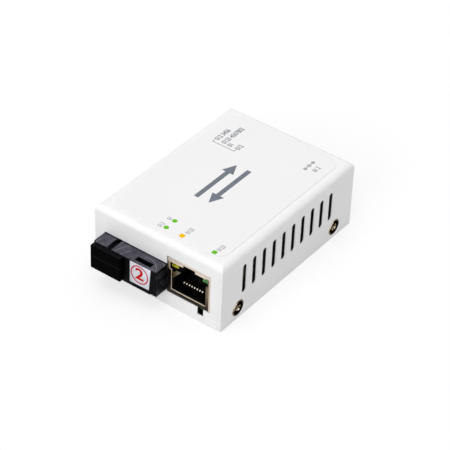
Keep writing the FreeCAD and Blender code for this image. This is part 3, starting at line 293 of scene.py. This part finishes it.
# ---------------------------------------------------------------- materials
case_wall = 24.75           # within these distances, inside the cut edges of the slots and windows, the coat is painted near-black as shade
case_end = 35.0
case_ceiling = 24.05
seam_side, seam_end = 23.6, 33.9    # beyond both of these lie only the corners' seams, which the coat fills


def painted_shade_inside(tree, colour):
    """Painted shade: every inside face of the case, into every slot, is painted near-black, except at the
    corners' seams.
    """
    within = both(tree, both(tree, along(tree, "X", case_wall, case_wall - 0.02, True),
                             along(tree, "Y", case_end, case_end - 0.02, True)),
                  along(tree, "Z", case_ceiling, case_ceiling - 0.02))
    corner = both(tree, along(tree, "X", seam_side - 0.02, seam_side, True),
                  along(tree, "Y", seam_end - 0.02, seam_end, True))
    return mixed(tree, corner, mixed(tree, within, colour, "#0d0e0f"), colour)


# Powder coat on folded steel: white, satin, with a fine orange peel that softens every reflection. Inside the
# case it is painted near-black as shade.
case_coat = surface("powder_coat_white", ["#f0efef", "#f4f4f3"], 9.0, (0.42, 0.52), 3.0, 0.55, 0.006, 0.12,
                    tint=painted_shade_inside, IOR=1.5)


def cut_edge(tree, colour):
    """The film's cut edge is painted grey, fading out just inside its top edge."""
    return mixed(tree, add(tree, "Attribute", attribute_name="rim").outputs["Fac"], colour, "#e7e7e8")


# Printed polycarbonate film: a flatter, slightly warmer white than the paint, finely velvet-grained.
overlay_film = surface("overlay_film", ["#efeeed", "#f1f0ef"], 14.0, (0.5, 0.58), 4.0, 0.3, 0.002, 0.0,
                       tint=cut_edge, IOR=1.58)
# Screen ink on the film: mid grey, almost without gloss.
grey_ink = surface("legend_ink_grey", ["#646b75", "#6e757e"], 1.5, (0.5, 0.65), 1.0, 0.25, 0.002)
pale_ink = surface("small_legend_ink", ["#767c83", "#80868d"], 1.5, (0.5, 0.65), 1.0, 0.25, 0.002)
green_ink = surface("window_ink_green", ["#63bd1c", "#6bc324"], 1.0, (0.5, 0.6), 0.8, 0.25, 0.002,
                    Specular_IOR_Level=0.1)
yellow_ink = surface("window_ink_yellow", ["#eebc00", "#f2c000"], 1.0, (0.5, 0.6), 0.8, 0.25, 0.002,
                     Specular_IOR_Level=0.02)


def painted_glint_plating(tree, colour):
    """Painted reflections and highlights on the plate: black where the painted glint number is 0, warm metal
    at 0.5, and white-bright at 1.
    """
    painted_glint = add(tree, "Attribute", attribute_name="painted_glint").outputs["Fac"]
    glinting = mixed(tree, ramped(tree, painted_glint, 0.0, 0.5), "#060505", colour)
    return mixed(tree, ramped(tree, painted_glint, 0.55, 0.95), glinting, "#fffdf8")


# Nickel plate on a steel screw, glossy. Its black face stands for dark reflections, and its warm cross walls
# and bright crescent, spot and rim line are painted reflections and highlights.
nickel_screw = surface("nickel_screw_painted_reflections", ["#8d744f", "#e8d4b0"], 0.6, (0.2, 0.3), 0.35, 0.15, 0.002,
                       0.03, tint=painted_glint_plating, Metallic=1.0, Specular_Tint=(0.1, 0.09, 0.08, 1.0))
# Moulded thermoplastic of the transceiver: near black, with a spark-eroded grain; on the faces that look up a
# violet-grey film, partly dust and partly painted sheen, is crossed by swirling rub marks from handling, and
# faces that look right carry patches of painted sheen.
optic_moulding = rubbed_plastic("transceiver_plastic", ["#020204", "#060609"], ["#3d3c44", "#585760"],
                                "#7a7982", "#403f47", (0.42, 0.55), 0.04)
cap_low, cap_high = in_mm(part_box("dust_cap"))
cap_parting = (cap_low[2] + cap_high[2]) / 2 + 0.6


def parting_line(tree, colour):
    """The mould's halves met along a fine level line, which is painted a little lighter than the cap around
    it.
    """
    line = both(tree, along(tree, "Z", cap_parting - 0.22, cap_parting - 0.08),
                along(tree, "Z", cap_parting + 0.22, cap_parting + 0.08))
    return mixed(tree, line, colour, "#1b1a1a")


# Moulded cap: softer and blacker than the transceiver, with only a trace of the dust and painted sheen on its
# top.
cap_moulding = rubbed_plastic("dust_cap_plastic", ["#000000", "#010101"], ["#0d0d10", "#151518"], "#1c1c20",
                              "#080809", (0.4, 0.5), 0.01, parting_line)
# Gloss paper label with a thin red printed ring.
sticker_film = surface("sticker_paper", ["#c3c6d2", "#e2e3ea"], 2.2, (0.35, 0.45), 1.5, 0.25, 0.002)
red_ink = surface("sticker_ink_red", ["#b80604", "#c60f0c"], 0.8, (0.4, 0.5), 0.6, 0.2, 0.001,
                  Specular_IOR_Level=0.05)
# Turned stainless steel of the optical barrel.
barrel_steel = surface("barrel_steel", ["#9a9792", "#b3afa9"], 0.4, (0.25, 0.38), 0.3, 0.1, 0.002, 0.0,
                       (1, 4, 1), Metallic=1.0)
# Zirconia sleeve: a warm white ceramic, dense and glossy.
sleeve_ceramic = surface("zirconia_sleeve", ["#e6e2d8", "#efece4"], 1.0, (0.15, 0.25), 0.8, 0.2, 0.001,
                         IOR=2.1)
(jack_x0, jack_y0, _), (jack_x1, _, jack_z1) = in_mm(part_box("jack_shield"))

shield_foot = jack_z1 - 13.8    # underside of the shield's face


def painted_shield_light(tree, colour):
    """Painted light on the face: it is painted bright along its top and its right edge as highlights, and
    brown below, browner still at the foot and to the left, up to the lamp, as shade and dark reflections.
    Behind the face the metal goes from brown back to bright."""
    low = mixed(tree, along(tree, "X", jack_x0 + 1.5, jack_x1 - 1.0), "#19130d", "#7f6c59")
    beside_lamp = mixed(tree, along(tree, "Z", jack_z1 - 4.9, jack_z1 - 4.1), low, "#8f7d68")
    foot = mixed(tree, along(tree, "Z", shield_foot + 5.5, shield_foot + 1.0), beside_lamp, "#251c14")
    outer_edge = mixed(tree, along(tree, "X", jack_x1 - 0.6, jack_x1 - 0.4), foot, "#d9cbb9")
    face = mixed(tree, along(tree, "Z", jack_z1 - 1.9, jack_z1 - 1.5), outer_edge, colour)
    finger = mixed(tree, along(tree, "Y", jack_y0 + 1.0, jack_y0 + 3.5), "#85704f", "#fbeccb")
    return mixed(tree, along(tree, "Y", jack_y0 + 0.3, jack_y0 + 0.4), face, finger)


# Nickel over brass strip: warm, satin, with fine rolling lines along the strip; its highlights, shade and
# dark reflections are painted by place.
shield_plate = surface("nickel_plated_brass", ["#d6c9bc", "#e4d9cd"], 1.6, (0.4, 0.5), 0.8, 0.12, 0.003,
                       0.09, (1, 1, 5), tint=painted_shield_light, Metallic=0.45, Specular_IOR_Level=0.15)


def painted_shade_right(tree, colour):
    """Painted shade: the coined edge keeps its bright colour at its left and foot, and is painted a dull
    brown down its right side.
    """
    return mixed(tree, along(tree, "X", jack_x1 - 2.0, jack_x1 - 1.6), colour, "#6b5b49")


# The sheared and coined edge round the jack's opening: bare bright metal, with painted shade down its right
# side.
coined_edge = surface("coined_edge_nickel", ["#e2cfb2", "#f2e6d2"], 1.0, (0.28, 0.38), 0.5, 0.15, 0.001,
                      tint=painted_shade_right, Metallic=0.7)
# The DC inlet's pin and spring: nickel over brass.
inlet_metal = surface("inlet_contact_nickel", ["#bdb6aa", "#d6cfc4"], 1.2, (0.25, 0.38), 0.8, 0.12, 0.003,
                      0.06, Metallic=1.0)
# Glass-filled insert of the jack: black and dull.
jack_moulding = surface("jack_insert_plastic", ["#030304", "#070708"], 2.0, (0.55, 0.7), 1.2, 0.2, 0.005,
                         0.08, Specular_IOR_Level=0.03)
knuckle_z = shield_foot + 1.9 + 1.9     # top of the contacts' front bend


def painted_knuckle_glints(tree, colour):
    """The wires keep their pale gold, a painted highlight, only on the crown of the front bend where a plug
    rubs; behind and below that they are painted dark as shade and dark reflection.
    """
    glinting = both(tree, along(tree, "Y", jack_y0 + 2.72, jack_y0 + 2.56),
                  along(tree, "Z", knuckle_z - 0.02, knuckle_z + 0.12))
    facing = add(tree, "SeparateXYZ", {"Vector": add(tree, "NewGeometry").outputs["Normal"]}).outputs["X"]
    crown = ramped(tree, add(tree, "Math", {0: facing}, operation="ABSOLUTE").outputs["Value"], 0.6, 0.2)
    return mixed(tree, both(tree, glinting, crown), "#1d160d", colour)


# Gold flash on phosphor bronze wires, painted near-white as a highlight, which the tint keeps only on the
# crowns of their front bends.
contact_gold = surface("contact_gold", ["#fff2d2", "#fffaf0"], 0.5, (0.25, 0.35), 0.3, 0.1, 0.001, 0.08,
                       tint=painted_knuckle_glints, Metallic=0.5)
# Dyed lamp lenses, frosted by the mould.
yellow_lens = clear("lamp_lens_yellow", ["#7d7a0c", "#c4c020"], 0.22, 1.0, Transmission_Weight=0.1, IOR=1.5)
green_lens = clear("lamp_lens_green", ["#1f4f18", "#4f9c34"], 0.22, 1.0, Transmission_Weight=0.1, IOR=1.5)
# Tin on copper leads: grey, soft and slightly wavy.
tinned_lead = surface("tinned_copper", ["#b5b6b4", "#cccdca"], 0.5, (0.3, 0.45), 0.4, 0.3, 0.006, 0.05,
                      Metallic=1.0)
# Acrylic light pipe: clear, faintly green.
light_pipe = clear("light_pipe_acrylic", ["#ecf0ee", "#f0f4f2"], 0.05, 1.2, Transmission_Weight=0.95,
                   IOR=1.49)
# Milky resin of the two chip lamps under the pipe.
status_chip = clear("status_lamp_resin", ["#e4ebde", "#eaf1e4"], 0.3, 0.4, Transmission_Weight=0.4, IOR=1.5)
# Solder mask over glass fibre: olive green, glossy, with the weave faintly printed through.
board_mask = surface("solder_mask_green", ["#2c4a2c", "#38583a"], 2.2, (0.25, 0.38), 1.0, 0.5, 0.006, 0.1,
                     IOR=1.55)
# Brass hexagon bar of the standoffs.
standoff_brass = surface("standoff_brass", ["#a98f56", "#c2a96e"], 0.8, (0.25, 0.4), 0.5, 0.15, 0.003, 0.1,
                         Metallic=1.0)
# Zinc-plated steel of the board's screws.
board_screw_steel = surface("zinc_plated_steel", ["#b4b8b9", "#cdd0d0"], 0.7, (0.22, 0.35), 0.5, 0.15, 0.002,
                            0.1, Metallic=1.0)
# Moulded plastics of the DC inlet, and of the mode switch and its pale levers.
inlet_moulding = surface("inlet_plastic", ["#161618", "#1d1d20"], 2.5, (0.4, 0.52), 1.4, 0.22, 0.005, 0.12)
switch_moulding = surface("switch_plastic", ["#1c1c1f", "#242428"], 2.0, (0.4, 0.52), 1.2, 0.2, 0.004, 0.1)
lever_moulding = surface("lever_plastic", ["#ebe9e2", "#f2f0ea"], 1.2, (0.32, 0.42), 0.8, 0.2, 0.003, 0.08)
# Matt black epoxy of the chips.
chip_epoxy = surface("chip_epoxy", ["#1b1b1c", "#252526"], 1.5, (0.5, 0.65), 0.8, 0.12, 0.004, 0.1)
# Pressed nickel can of the crystal.
can_steel = surface("crystal_can_nickel", ["#bdbbb5", "#d3d1cb"], 1.4, (0.2, 0.32), 0.8, 0.2, 0.003, 0.15,
                    Metallic=1.0)
# Bare aluminium cans of the capacitors.
capacitor_sleeve = surface("capacitor_aluminium", ["#b9bcbd", "#cfd1d1"], 1.2, (0.25, 0.38), 0.6, 0.15, 0.003,
                           0.15, Metallic=1.0)
# Sintered ferrite of the inductor, and fired ceramic of the small parts.
ferrite = surface("inductor_ferrite", ["#3c3d40", "#4b4c4f"], 1.0, (0.45, 0.6), 0.6, 0.2, 0.006, 0.1)
small_ceramic = surface("small_part_ceramic", ["#8d7a5e", "#a18d70"], 0.9, (0.35, 0.5), 0.5, 0.2, 0.004, 0.05)

finish_of = {
    "top_cover": case_coat, "base_tray": case_coat, "label_overlay": overlay_film,
    "case_screws": nickel_screw,
    "transceiver_body": optic_moulding, "latch_clips": optic_moulding, "dust_cap": cap_moulding,
    "transceiver_sticker": sticker_film, "optical_barrel": barrel_steel, "ferrule_sleeve": sleeve_ceramic,
    "transceiver_pins": tinned_lead, "jack_shield": shield_plate, "jack_housing": jack_moulding,
    "jack_contacts": contact_gold, "jack_led_yellow": yellow_lens, "jack_led_green": green_lens,
    "jack_led_leads": tinned_lead, "status_light_pipe": light_pipe, "status_leds": status_chip,
    "circuit_board": board_mask, "board_standoffs": standoff_brass, "board_screws": board_screw_steel,
    "power_jack_body": inlet_moulding, "power_jack_pin": inlet_metal, "power_jack_spring": inlet_metal,
    "power_jack_terminals": tinned_lead, "dip_switch_body": switch_moulding, "dip_switch_pins": tinned_lead,
    "switch_chip": chip_epoxy, "switch_chip_leads": tinned_lead, "magnetics_module": chip_epoxy,
    "crystal_can": can_steel, "capacitors": capacitor_sleeve, "power_inductor": ferrite,
    "voltage_regulator": chip_epoxy, "memory_chip": chip_epoxy, "small_components": small_ceramic}
finish_of.update({name: lever_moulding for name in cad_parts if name.startswith("dip_lever_")})
for name, node_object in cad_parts.items():
    slots = node_object.data.materials
    slots.clear()
    slots.append(finish_of[name])


# ---------------------------------------------------------------- print on the top
figure_share = 0.7          # a figure's height, as a share of the letter size
ink_thickness = 0.01


def figures(text, height, x, y, squeeze=0.75, weight=0.03):
    """Figures about height tall, centred on x, y; they read along +Y with their tops towards -X.

    squeeze scales their width. weight is how much each stroke is fattened, as a share of the letter size."""
    curve = bpy.data.curves.new("figures", "FONT")
    curve.body = text
    curve.align_x = "CENTER"
    curve.align_y = "CENTER"
    curve.size = height / figure_share
    curve.offset = weight * curve.size
    holder = bpy.data.objects.new("figures", curve)
    flat = bpy.data.meshes.new_from_object(holder)
    count = len(flat.vertices)
    points = np.empty(count * 3)
    flat.vertices.foreach_get("co", points)
    points = points.reshape(-1, 3)
    faces = [list(face.vertices) for face in flat.polygons]
    bpy.data.objects.remove(holder)
    bpy.data.curves.remove(curve)
    bpy.data.meshes.remove(flat)
    return np.stack([x - points[:, 1], y + points[:, 0] * squeeze], -1), faces


def bar(x0, x1, y0, y1):
    """A filled rectangle."""
    return np.array([(x0, y0), (x1, y0), (x1, y1), (x0, y1)]), [[0, 1, 2, 3]]


def ring_mark(x, y, inner, outer, steps=48):
    """A flat ring: two circles joined by quads; a disc if inner is 0."""
    angle = np.linspace(0, 2 * np.pi, steps, endpoint=False)
    circle = np.stack([np.cos(angle), np.sin(angle)], -1)
    if inner == 0:
        return (x, y) + circle * outer, [list(range(steps))]
    return np.concatenate([(x, y) + circle * inner, (x, y) + circle * outer]), net(2, steps)


def arrow(x, y0, y1, shaft, head, head_length):
    """A straight arrow along Y from y0 to its tip at y1."""
    hand = 1 if y1 > y0 else -1
    neck = y1 - hand * head_length
    points = np.array([(x - shaft / 2, y0), (x + shaft / 2, y0), (x + shaft / 2, neck),
                       (x + head / 2, neck), (x, y1), (x - head / 2, neck), (x - shaft / 2, neck)])
    return points, [list(range(7))] if hand > 0 else [list(range(7))[::-1]]


def printed(name, marks, lift, finish, body="case", place=None):
    """Marks as one flat film of ink: each (points, faces) in the plane, set at height lift by place."""
    points, faces = joined(marks)
    place = place or upward(0, 0)
    placed = place(points[:, 0], points[:, 1], np.full(len(points), lift))
    obj = piece(name, placed, faces, finish, body, False)
    wall = obj.modifiers.new("ink_thickness", "SOLIDIFY")
    wall.thickness = ink_thickness * MM
    wall.offset = -1
    return obj


(film_x0, film_y0, film_z0), (film_x1, film_y1, film_top) = in_mm(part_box("label_overlay"))
film_surface = film_top - 0.02
film_points, film_faces = slab((film_x1 - film_x0) / 2, (film_y1 - film_y0) / 2, 4.5,
                               [(0, film_z0), (0, film_surface - 0.06), (0.03, film_surface - 0.02),
                                (0.1, film_surface), (0.2, film_surface)], upward(0, 0), 16)
film_rim = np.repeat([1.0, 1.0, 1.0, 0.6, 0.0], len(film_points) // 5)
film = piece("printed_overlay", film_points, film_faces, overlay_film, values={"rim": film_rim})
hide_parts("label_overlay")

# Two opposed arrows: light one way, copper the other.
emblem = [arrow(-3.3, -12.0, 9.5, 1.7, 4.6, 5.0), arrow(1.7, 9.5, -12.0, 1.7, 4.6, 5.0)]
bracket = [bar(-17.4, -8.4, 14.85, 15.1), bar(-17.4, -17.15, 15.1, 16.0), bar(-8.65, -8.4, 15.1, 16.0)]
# None of the rows has a 9, whose fattened outline does not fill cleanly.
mode_rows = [figures(text, 1.75, x, y) for text, x, y in (
    ("012 3456", -16.9, 20.0), ("0123 4567802", -13.9, 21.6), ("01", -11.4, 17.0), ("012", -8.4, 17.7))]
lamp_legends = [figures(text, 1.55, x, y, 0.7, 0.01) for text, x, y in (
    ("012", -2.75, -30.0), ("01", -2.65, -25.9), ("0123", 6.1, -27.0), ("0123", 18.6, -27.5))]
# The usual sign for a DC plug: a pin in a ring between a minus and a plus.
polarity = [ring_mark(14.8, y, inner, outer) for y, inner, outer in (
    (21.9, 0.35, 0.62), (24.1, 0.48, 0.7), (24.1, 0, 0.26), (26.3, 0.35, 0.62))]
polarity += [bar(14.68, 14.92, y, y + 0.9) for y in (22.5, 24.8)]
polarity += [bar(14.7, 14.9, y - 0.3, y + 0.3) for y in (21.9, 26.3)]
polarity += [bar(14.5, 15.1, 26.2, 26.4), figures("01 2", 1.6, 17.8, 24.0, 0.7)]
ink_top = film_surface + ink_thickness
printed("emblem_print", emblem, ink_top, grey_ink)
printed("legend_print", bracket + mode_rows + lamp_legends + polarity, ink_top, pale_ink)
printed("green_windows", [ring_mark(-0.72, -30.15, 0, 0.87), ring_mark(-0.72, -25.95, 0, 0.87),
                          bar(17.27, 18.89, -31.15, -29.53)], ink_top, green_ink)
printed("yellow_window", [bar(4.68, 6.38, -31.1, -29.4)], ink_top, yellow_ink)

# ---------------------------------------------------------------- sticker on the transceiver
(tag_x0, tag_y0, tag_z0), (tag_x1, tag_y1, tag_z1) = in_mm(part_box("transceiver_sticker"))
tag_x, tag_z = (tag_x0 + tag_x1) / 2, (tag_z0 + tag_z1) / 2
tag_face = -tag_y0 - 0.02


def laid_askew(u, v, height):
    """The label's place: a little out of square, with its right side leaning, and turned by a degree."""
    lean = 0.08 * v * (u / (tag_x1 - tag_x0) + 0.5)
    return frontward(tag_x + 0.1, tag_z + 0.05)(u * 0.96 + lean, v + 0.02 * u, height)


tag_points, tag_faces = slab((tag_x1 - tag_x0) / 2, (tag_z1 - tag_z0) / 2, 0.15,
                             [(0, -tag_y1), (0, tag_face - 0.02), (0.03, tag_face)], laid_askew, 4)
tag = piece("port_sticker", tag_points, tag_faces, sticker_film)
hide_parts("transceiver_sticker")
two_points, two_faces = figures("2", 4.2, 0, 0, 1.15, 0.024)
two = (np.stack([two_points[:, 1], -two_points[:, 0]], -1), two_faces)
printed("sticker_print", [ring_mark(0, 0, 3.04, 3.46, 64), two],
        tag_face + ink_thickness, red_ink, place=frontward(tag_x, tag_z + 0.25))


# ---------------------------------------------------------------- edge of the jack's opening
def bead(corners, section, place):
    """A bead along a closed outline of square corners. Each (inset, height) of its closed section is the
    outline moved inwards by inset: every corner moves along both of its edges' normals."""
    corners = np.asarray(corners, float)
    run = np.roll(corners, -1, 0) - corners
    run /= np.linalg.norm(run, axis=1)[:, None]
    normal = np.stack([-run[:, 1], run[:, 0]], -1)
    shift = normal + np.roll(normal, 1, 0)
    rows = []
    for inset, height in section:
        moved = corners + shift * inset
        rows.append(place(moved[:, 0], moved[:, 1], np.full(len(moved), height)))
    return np.concatenate(rows), net(len(section), len(corners), True)


mouth, lamp_side, slot_side = 6.65, 7.4, 2.35
mouth_foot, mouth_top = shield_foot + 1.5, jack_z1 - 1.6
lamp_foot, slot_top = mouth_top - 2.9, mouth_top + 0.9
opening = [(-mouth, mouth_foot), (mouth, mouth_foot), (mouth, lamp_foot), (lamp_side, lamp_foot),
           (lamp_side, mouth_top), (slot_side, mouth_top), (slot_side, slot_top), (-slot_side, slot_top),
           (-slot_side, mouth_top), (-lamp_side, mouth_top), (-lamp_side, lamp_foot), (-mouth, lamp_foot)]
bead_section = [(0.02, -0.3), (0.04, 0.0), (0.02, 0.05), (-0.03, 0.08), (-0.09, 0.08), (-0.13, 0.05),
                (-0.16, -0.02)]
bead_points, bead_faces = bead(opening, [(inset, height - jack_y0) for inset, height in bead_section],
                               frontward((jack_x0 + jack_x1) / 2, 0))
piece("jack_mouth_edge", bead_points, bead_faces, coined_edge, smooth=False)


# ---------------------------------------------------------------- corners of the case
def corner_coat(hand, end):
    """What the coat and the folds leave at one corner of the case: a bead of coat that fills the slit between
    the end's and the side's flanges, and the side flange's foot.

    The bead is a section, slightly hollow towards the end, carried straight up. The foot is the square corner
    less a quarter circle: a fan between two arcs of points, one on the round and one on the sharp outline,
    given the sheet's thickness."""
    third, hollow = slit_width / 3, 0.012
    section = np.array([(0, 0), (third, hollow), (2 * third, hollow), (slit_width, 0),
                        (slit_width, slit_depth), (0, slit_depth)])
    levels = np.array([case_foot, case_foot + 6, case_seam_top - 6, case_seam_top])
    across = section[:, 0] - slit_width + seam_x
    bead_rows = [np.stack([across, section[:, 1], np.full(6, z)], -1) for z in levels]
    parts = [(np.concatenate(bead_rows), net(4, 6) + [[5, 4, 3, 2, 1, 0], list(range(18, 24))])]
    turn = np.linspace(0, np.pi / 2, fan_points)
    arc = np.stack([1 - np.cos(turn), 1 - np.sin(turn)], -1) * foot_radius
    reach = foot_radius / np.maximum(np.cos(turn), np.sin(turn))
    sharp = foot_radius - np.stack([np.cos(turn), np.sin(turn)], -1) * reach[:, None]
    outline = np.concatenate([arc, np.maximum(sharp, 0.0)[::-1]])
    count = len(outline)
    inner_faces = [[i, i + 1, count - 2 - i, count - 1 - i] for i in range(fan_points - 1)]
    outer_faces = [[count + i for i in face[::-1]] for face in inner_faces]
    edge_faces = [[i, (i + 1) % count, count + (i + 1) % count, count + i] for i in range(count)]
    wall = [np.stack([np.full(count, x), outline[:, 0], case_foot + outline[:, 1]], -1)
            for x in (seam_x, case_side)]
    parts.append((np.concatenate(wall), inner_faces + outer_faces + edge_faces))
    points, faces = joined(parts)
    placed = np.stack([hand * points[:, 0], end * (case_end_y - points[:, 1]), points[:, 2]], -1)
    return placed, faces if hand * end > 0 else [face[::-1] for face in faces]


(_, _, case_foot), (case_side, case_end_y, cover_top) = in_mm(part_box("top_cover"))
seam_x = case_side - 1.0    # the side flange's inner face
case_seam_top = cover_top - 1.9     # under the bend
slit_width = 0.12
slit_depth = 0.9            # a little less than the sheet
foot_radius = 1.5
fan_points = 13
corner_points, corner_faces = joined([corner_coat(hand, end) for hand in (1, -1) for end in (1, -1)])
piece("corner_coat", corner_points, corner_faces, case_coat, smooth=False)


# ---------------------------------------------------------------- case screws
def screw_surface(radius, shank, length, turn, highlight_side):
    """Countersunk screw along +h, as rings round its axis: points (a, b, h), and how much painted reflection
    and highlight each point gets.

    The face is a shallow dome, less a cross: for each arm the depth is full inside its half width and fades
    over a short wall, and the deeper of the two arms counts. Behind the rim come the cone and the shank."""
    r = np.concatenate([np.linspace(0.02, 0.94, 34), [0.975, 1.0]])[:, None] * radius
    angle = np.linspace(0, 2 * np.pi, 96, endpoint=False)[None, :]
    a, b = r * np.cos(angle), r * np.sin(angle)
    u = a * math.cos(turn) + b * math.sin(turn)
    v = b * math.cos(turn) - a * math.sin(turn)

    def arm(along, across):
        width = 0.42 - 0.12 * np.abs(along) / 1.5
        return np.clip((width - np.abs(across)) / 0.16, 0, 1) * np.clip((1.55 - np.abs(along)) / 0.3, 0, 1)

    depth = 0.95 * np.maximum(arm(u, v), arm(v, u))
    dome = 0.10 * (1 - (r / radius) ** 2) - 0.12 * np.clip((r / radius - 0.94) / 0.06, 0, 1) ** 2
    face = np.stack([a, b, dome - depth], -1)
    # Painted reflections and highlights: warm walls in the cross, a bright crescent on one side of the rim, a
    # bright spot off the centre and a thin line round the rim.
    cross_reflection = np.clip((np.abs(v) * 0.75 + 0.2 - np.abs(u) * 0.65) / 0.2, 0, 1)
    cross_reflection = cross_reflection * np.clip((1.3 - r) / 0.15, 0, 1)
    slots = 1 - np.clip((0.3 - np.abs(v)) / 0.12, 0, 1) * np.clip((np.abs(u) - 0.4) / 0.2, 0, 1)
    rim_light = np.clip((r / radius - 0.7) / 0.07, 0, 1)
    rim_light = rim_light * np.clip(3.4 * np.cos(angle - highlight_side) - 2.2, 0, 1)
    rim_light = rim_light * (1 - 0.8 * np.clip((0.2 - np.abs(u)) / 0.1, 0, 1))
    rim_light = rim_light * np.clip((0.93 - r / radius) / 0.05, 0, 1)
    highlight_spot = np.clip((0.6 - np.hypot(a - 0.1, b + 0.6)) / 0.15, 0, 1)
    rim_glint = np.clip((np.hypot(a, b) / radius - 0.9) / 0.04, 0, 1)
    painted_glint = np.maximum.reduce([0.5 * cross_reflection * slots, rim_light, highlight_spot, 0.45 * rim_glint]).ravel()
    ring = np.concatenate([np.cos(angle), np.sin(angle), np.zeros_like(angle)]).T
    behind = [ring * (rr, rr, 0) + (0, 0, h) for rr, h in ((radius, -0.2), (shank, -0.2 - radius + shank),
                                                          (shank, -length + 0.3), (shank - 0.3, -length))]
    rows = np.concatenate([face.reshape(-1, 3)] + behind)
    count = angle.shape[1]
    faces = net(len(rows) // count, count)
    faces.append(list(range(count)))
    faces.append(list(range(len(rows) - count, len(rows)))[::-1])
    return rows, faces, np.concatenate([painted_glint, np.zeros(len(rows) - len(painted_glint))])


screws, painted_glint_places = [], []
(_, screw_y0, screw_z0), (screw_x1, screw_y1, screw_z1) = in_mm(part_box("case_screws"))
head_radius = (screw_z1 - screw_z0) / 2
for hand in (1, -1):
    for number, y in enumerate((screw_y0 + head_radius, screw_y1 - head_radius)):
        rows, faces, painted_glint = screw_surface(head_radius, 1.5, 4.3, math.radians(70 + 25 * number),
                                          math.radians(140))
        turned = np.stack([hand * (screw_x1 - 0.1 + rows[:, 2]), y + hand * rows[:, 0],
                           (screw_z0 + screw_z1) / 2 + rows[:, 1]], -1)
        screws.append((turned, [f[::-1] for f in faces]))
        painted_glint_places.append(painted_glint)
screw_points, screw_faces = joined(screws)
screw_piece = piece("cross_screws", screw_points, screw_faces, nickel_screw,
                    values={"painted_glint": np.concatenate(painted_glint_places)})
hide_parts("case_screws")

# ---------------------------------------------------------------- stage, lamps and camera
floor_finish, tree, out = blank("studio_floor")
grain = speckle(tree, 40.0)
seen = background_rays(tree)
white = shades(tree, grain, [(0.3, "#f6f6f6"), (0.7, "#f8f8f8")])
paper = add(tree, "BsdfDiffuse", {"Color": mixed(tree, seen, "#e0e0e0", white), "Roughness": 0.5})
lift = add(tree, "MapRange", {"Value": seen, "To Min": 0.0, "To Max": 0.6})
glow = add(tree, "Emission", {"Color": (1, 1, 1, 1), "Strength": 1.03})
sheet = add(tree, "MixShader", {0: lift.outputs["Result"]})
tree.links.new(paper.outputs["BSDF"], sheet.inputs[1])
tree.links.new(glow.outputs["Emission"], sheet.inputs[2])
tree.links.new(sheet.outputs["Shader"], out.inputs["Surface"])
floor_mesh = bpy.data.meshes.new("studio_floor")
floor_mesh.from_pydata([(-3, -3, 0), (3, -3, 0), (3, 3, 0), (-3, 3, 0)], [], [(0, 1, 2, 3)])
floor_mesh.materials.append(floor_finish)
floor = bpy.data.objects.new("studio_floor", floor_mesh)
bpy.context.scene.collection.objects.link(floor)

world = bpy.data.worlds.new("soft_studio")
bpy.context.scene.world = world
world.use_nodes = True
tree = world.node_tree
tree.nodes.clear()
height = add(tree, "SeparateXYZ", {"Vector": add(tree, "TexCoord").outputs["Generated"]}).outputs["Z"]
sky = shades(tree, height, [(0.0, "#5a5a5c"), (0.12, "#8e8e90"), (0.4, "#c9c9cb"), (1.0, "#dadadc")])
backdrop = add(tree, "Background", {"Color": mixed(tree, background_rays(tree), sky, "#ffffff"),
                                    "Strength": 1.0})
tree.links.new(backdrop.outputs["Background"], add(tree, "OutputWorld").inputs["Surface"])


def soft_lamp(name, towards, strength, angle):
    """A broad soft lamp from that direction, as a sun whose disc is angle degrees wide."""
    data = bpy.data.lights.new(name, "SUN")
    data.energy = strength
    data.angle = math.radians(angle)
    lamp = bpy.data.objects.new(name, data)
    lamp.rotation_euler = Vector(towards).to_track_quat("Z", "Y").to_euler()
    bpy.context.scene.collection.objects.link(lamp)


soft_lamp("top_softbox", (0.0, -0.1, 1.0), 0.8, 50)
soft_lamp("front_softbox", (0.19, -0.82, 0.54), 0.5, 50)
soft_lamp("low_softbox", (-0.05, -0.96, 0.25), 0.58, 40)
soft_lamp("left_fill", (-0.75, -0.6, 0.2), 0.22, 60)
soft_lamp("right_fill", (0.92, -0.3, 0.25), 0.08, 60)

azimuth = math.radians(35.59)
elevation = math.radians(38.23)
roll = math.radians(2.455)
target = Vector((2.727, -4.082, 12.0)) * MM
back = Vector((math.sin(azimuth) * math.cos(elevation), -math.cos(azimuth) * math.cos(elevation),
               math.sin(elevation)))
right = Vector((math.cos(azimuth), math.sin(azimuth), 0))
up = back.cross(right)
turned_right = right * math.cos(roll) + up * math.sin(roll)
turned_up = up * math.cos(roll) - right * math.sin(roll)
camera_data = bpy.data.cameras.new("camera")
camera_data.lens = 156.12
camera_data.sensor_width = 36.0
camera_data.clip_start = 0.01
camera = bpy.data.objects.new("camera", camera_data)
place = Matrix((turned_right, turned_up, back)).transposed().to_4x4()
place.translation = target + back * 0.6227
camera.matrix_world = place
bpy.context.scene.collection.objects.link(camera)
bpy.context.scene.camera = camera
bpy.context.scene.view_settings.view_transform = "Standard"
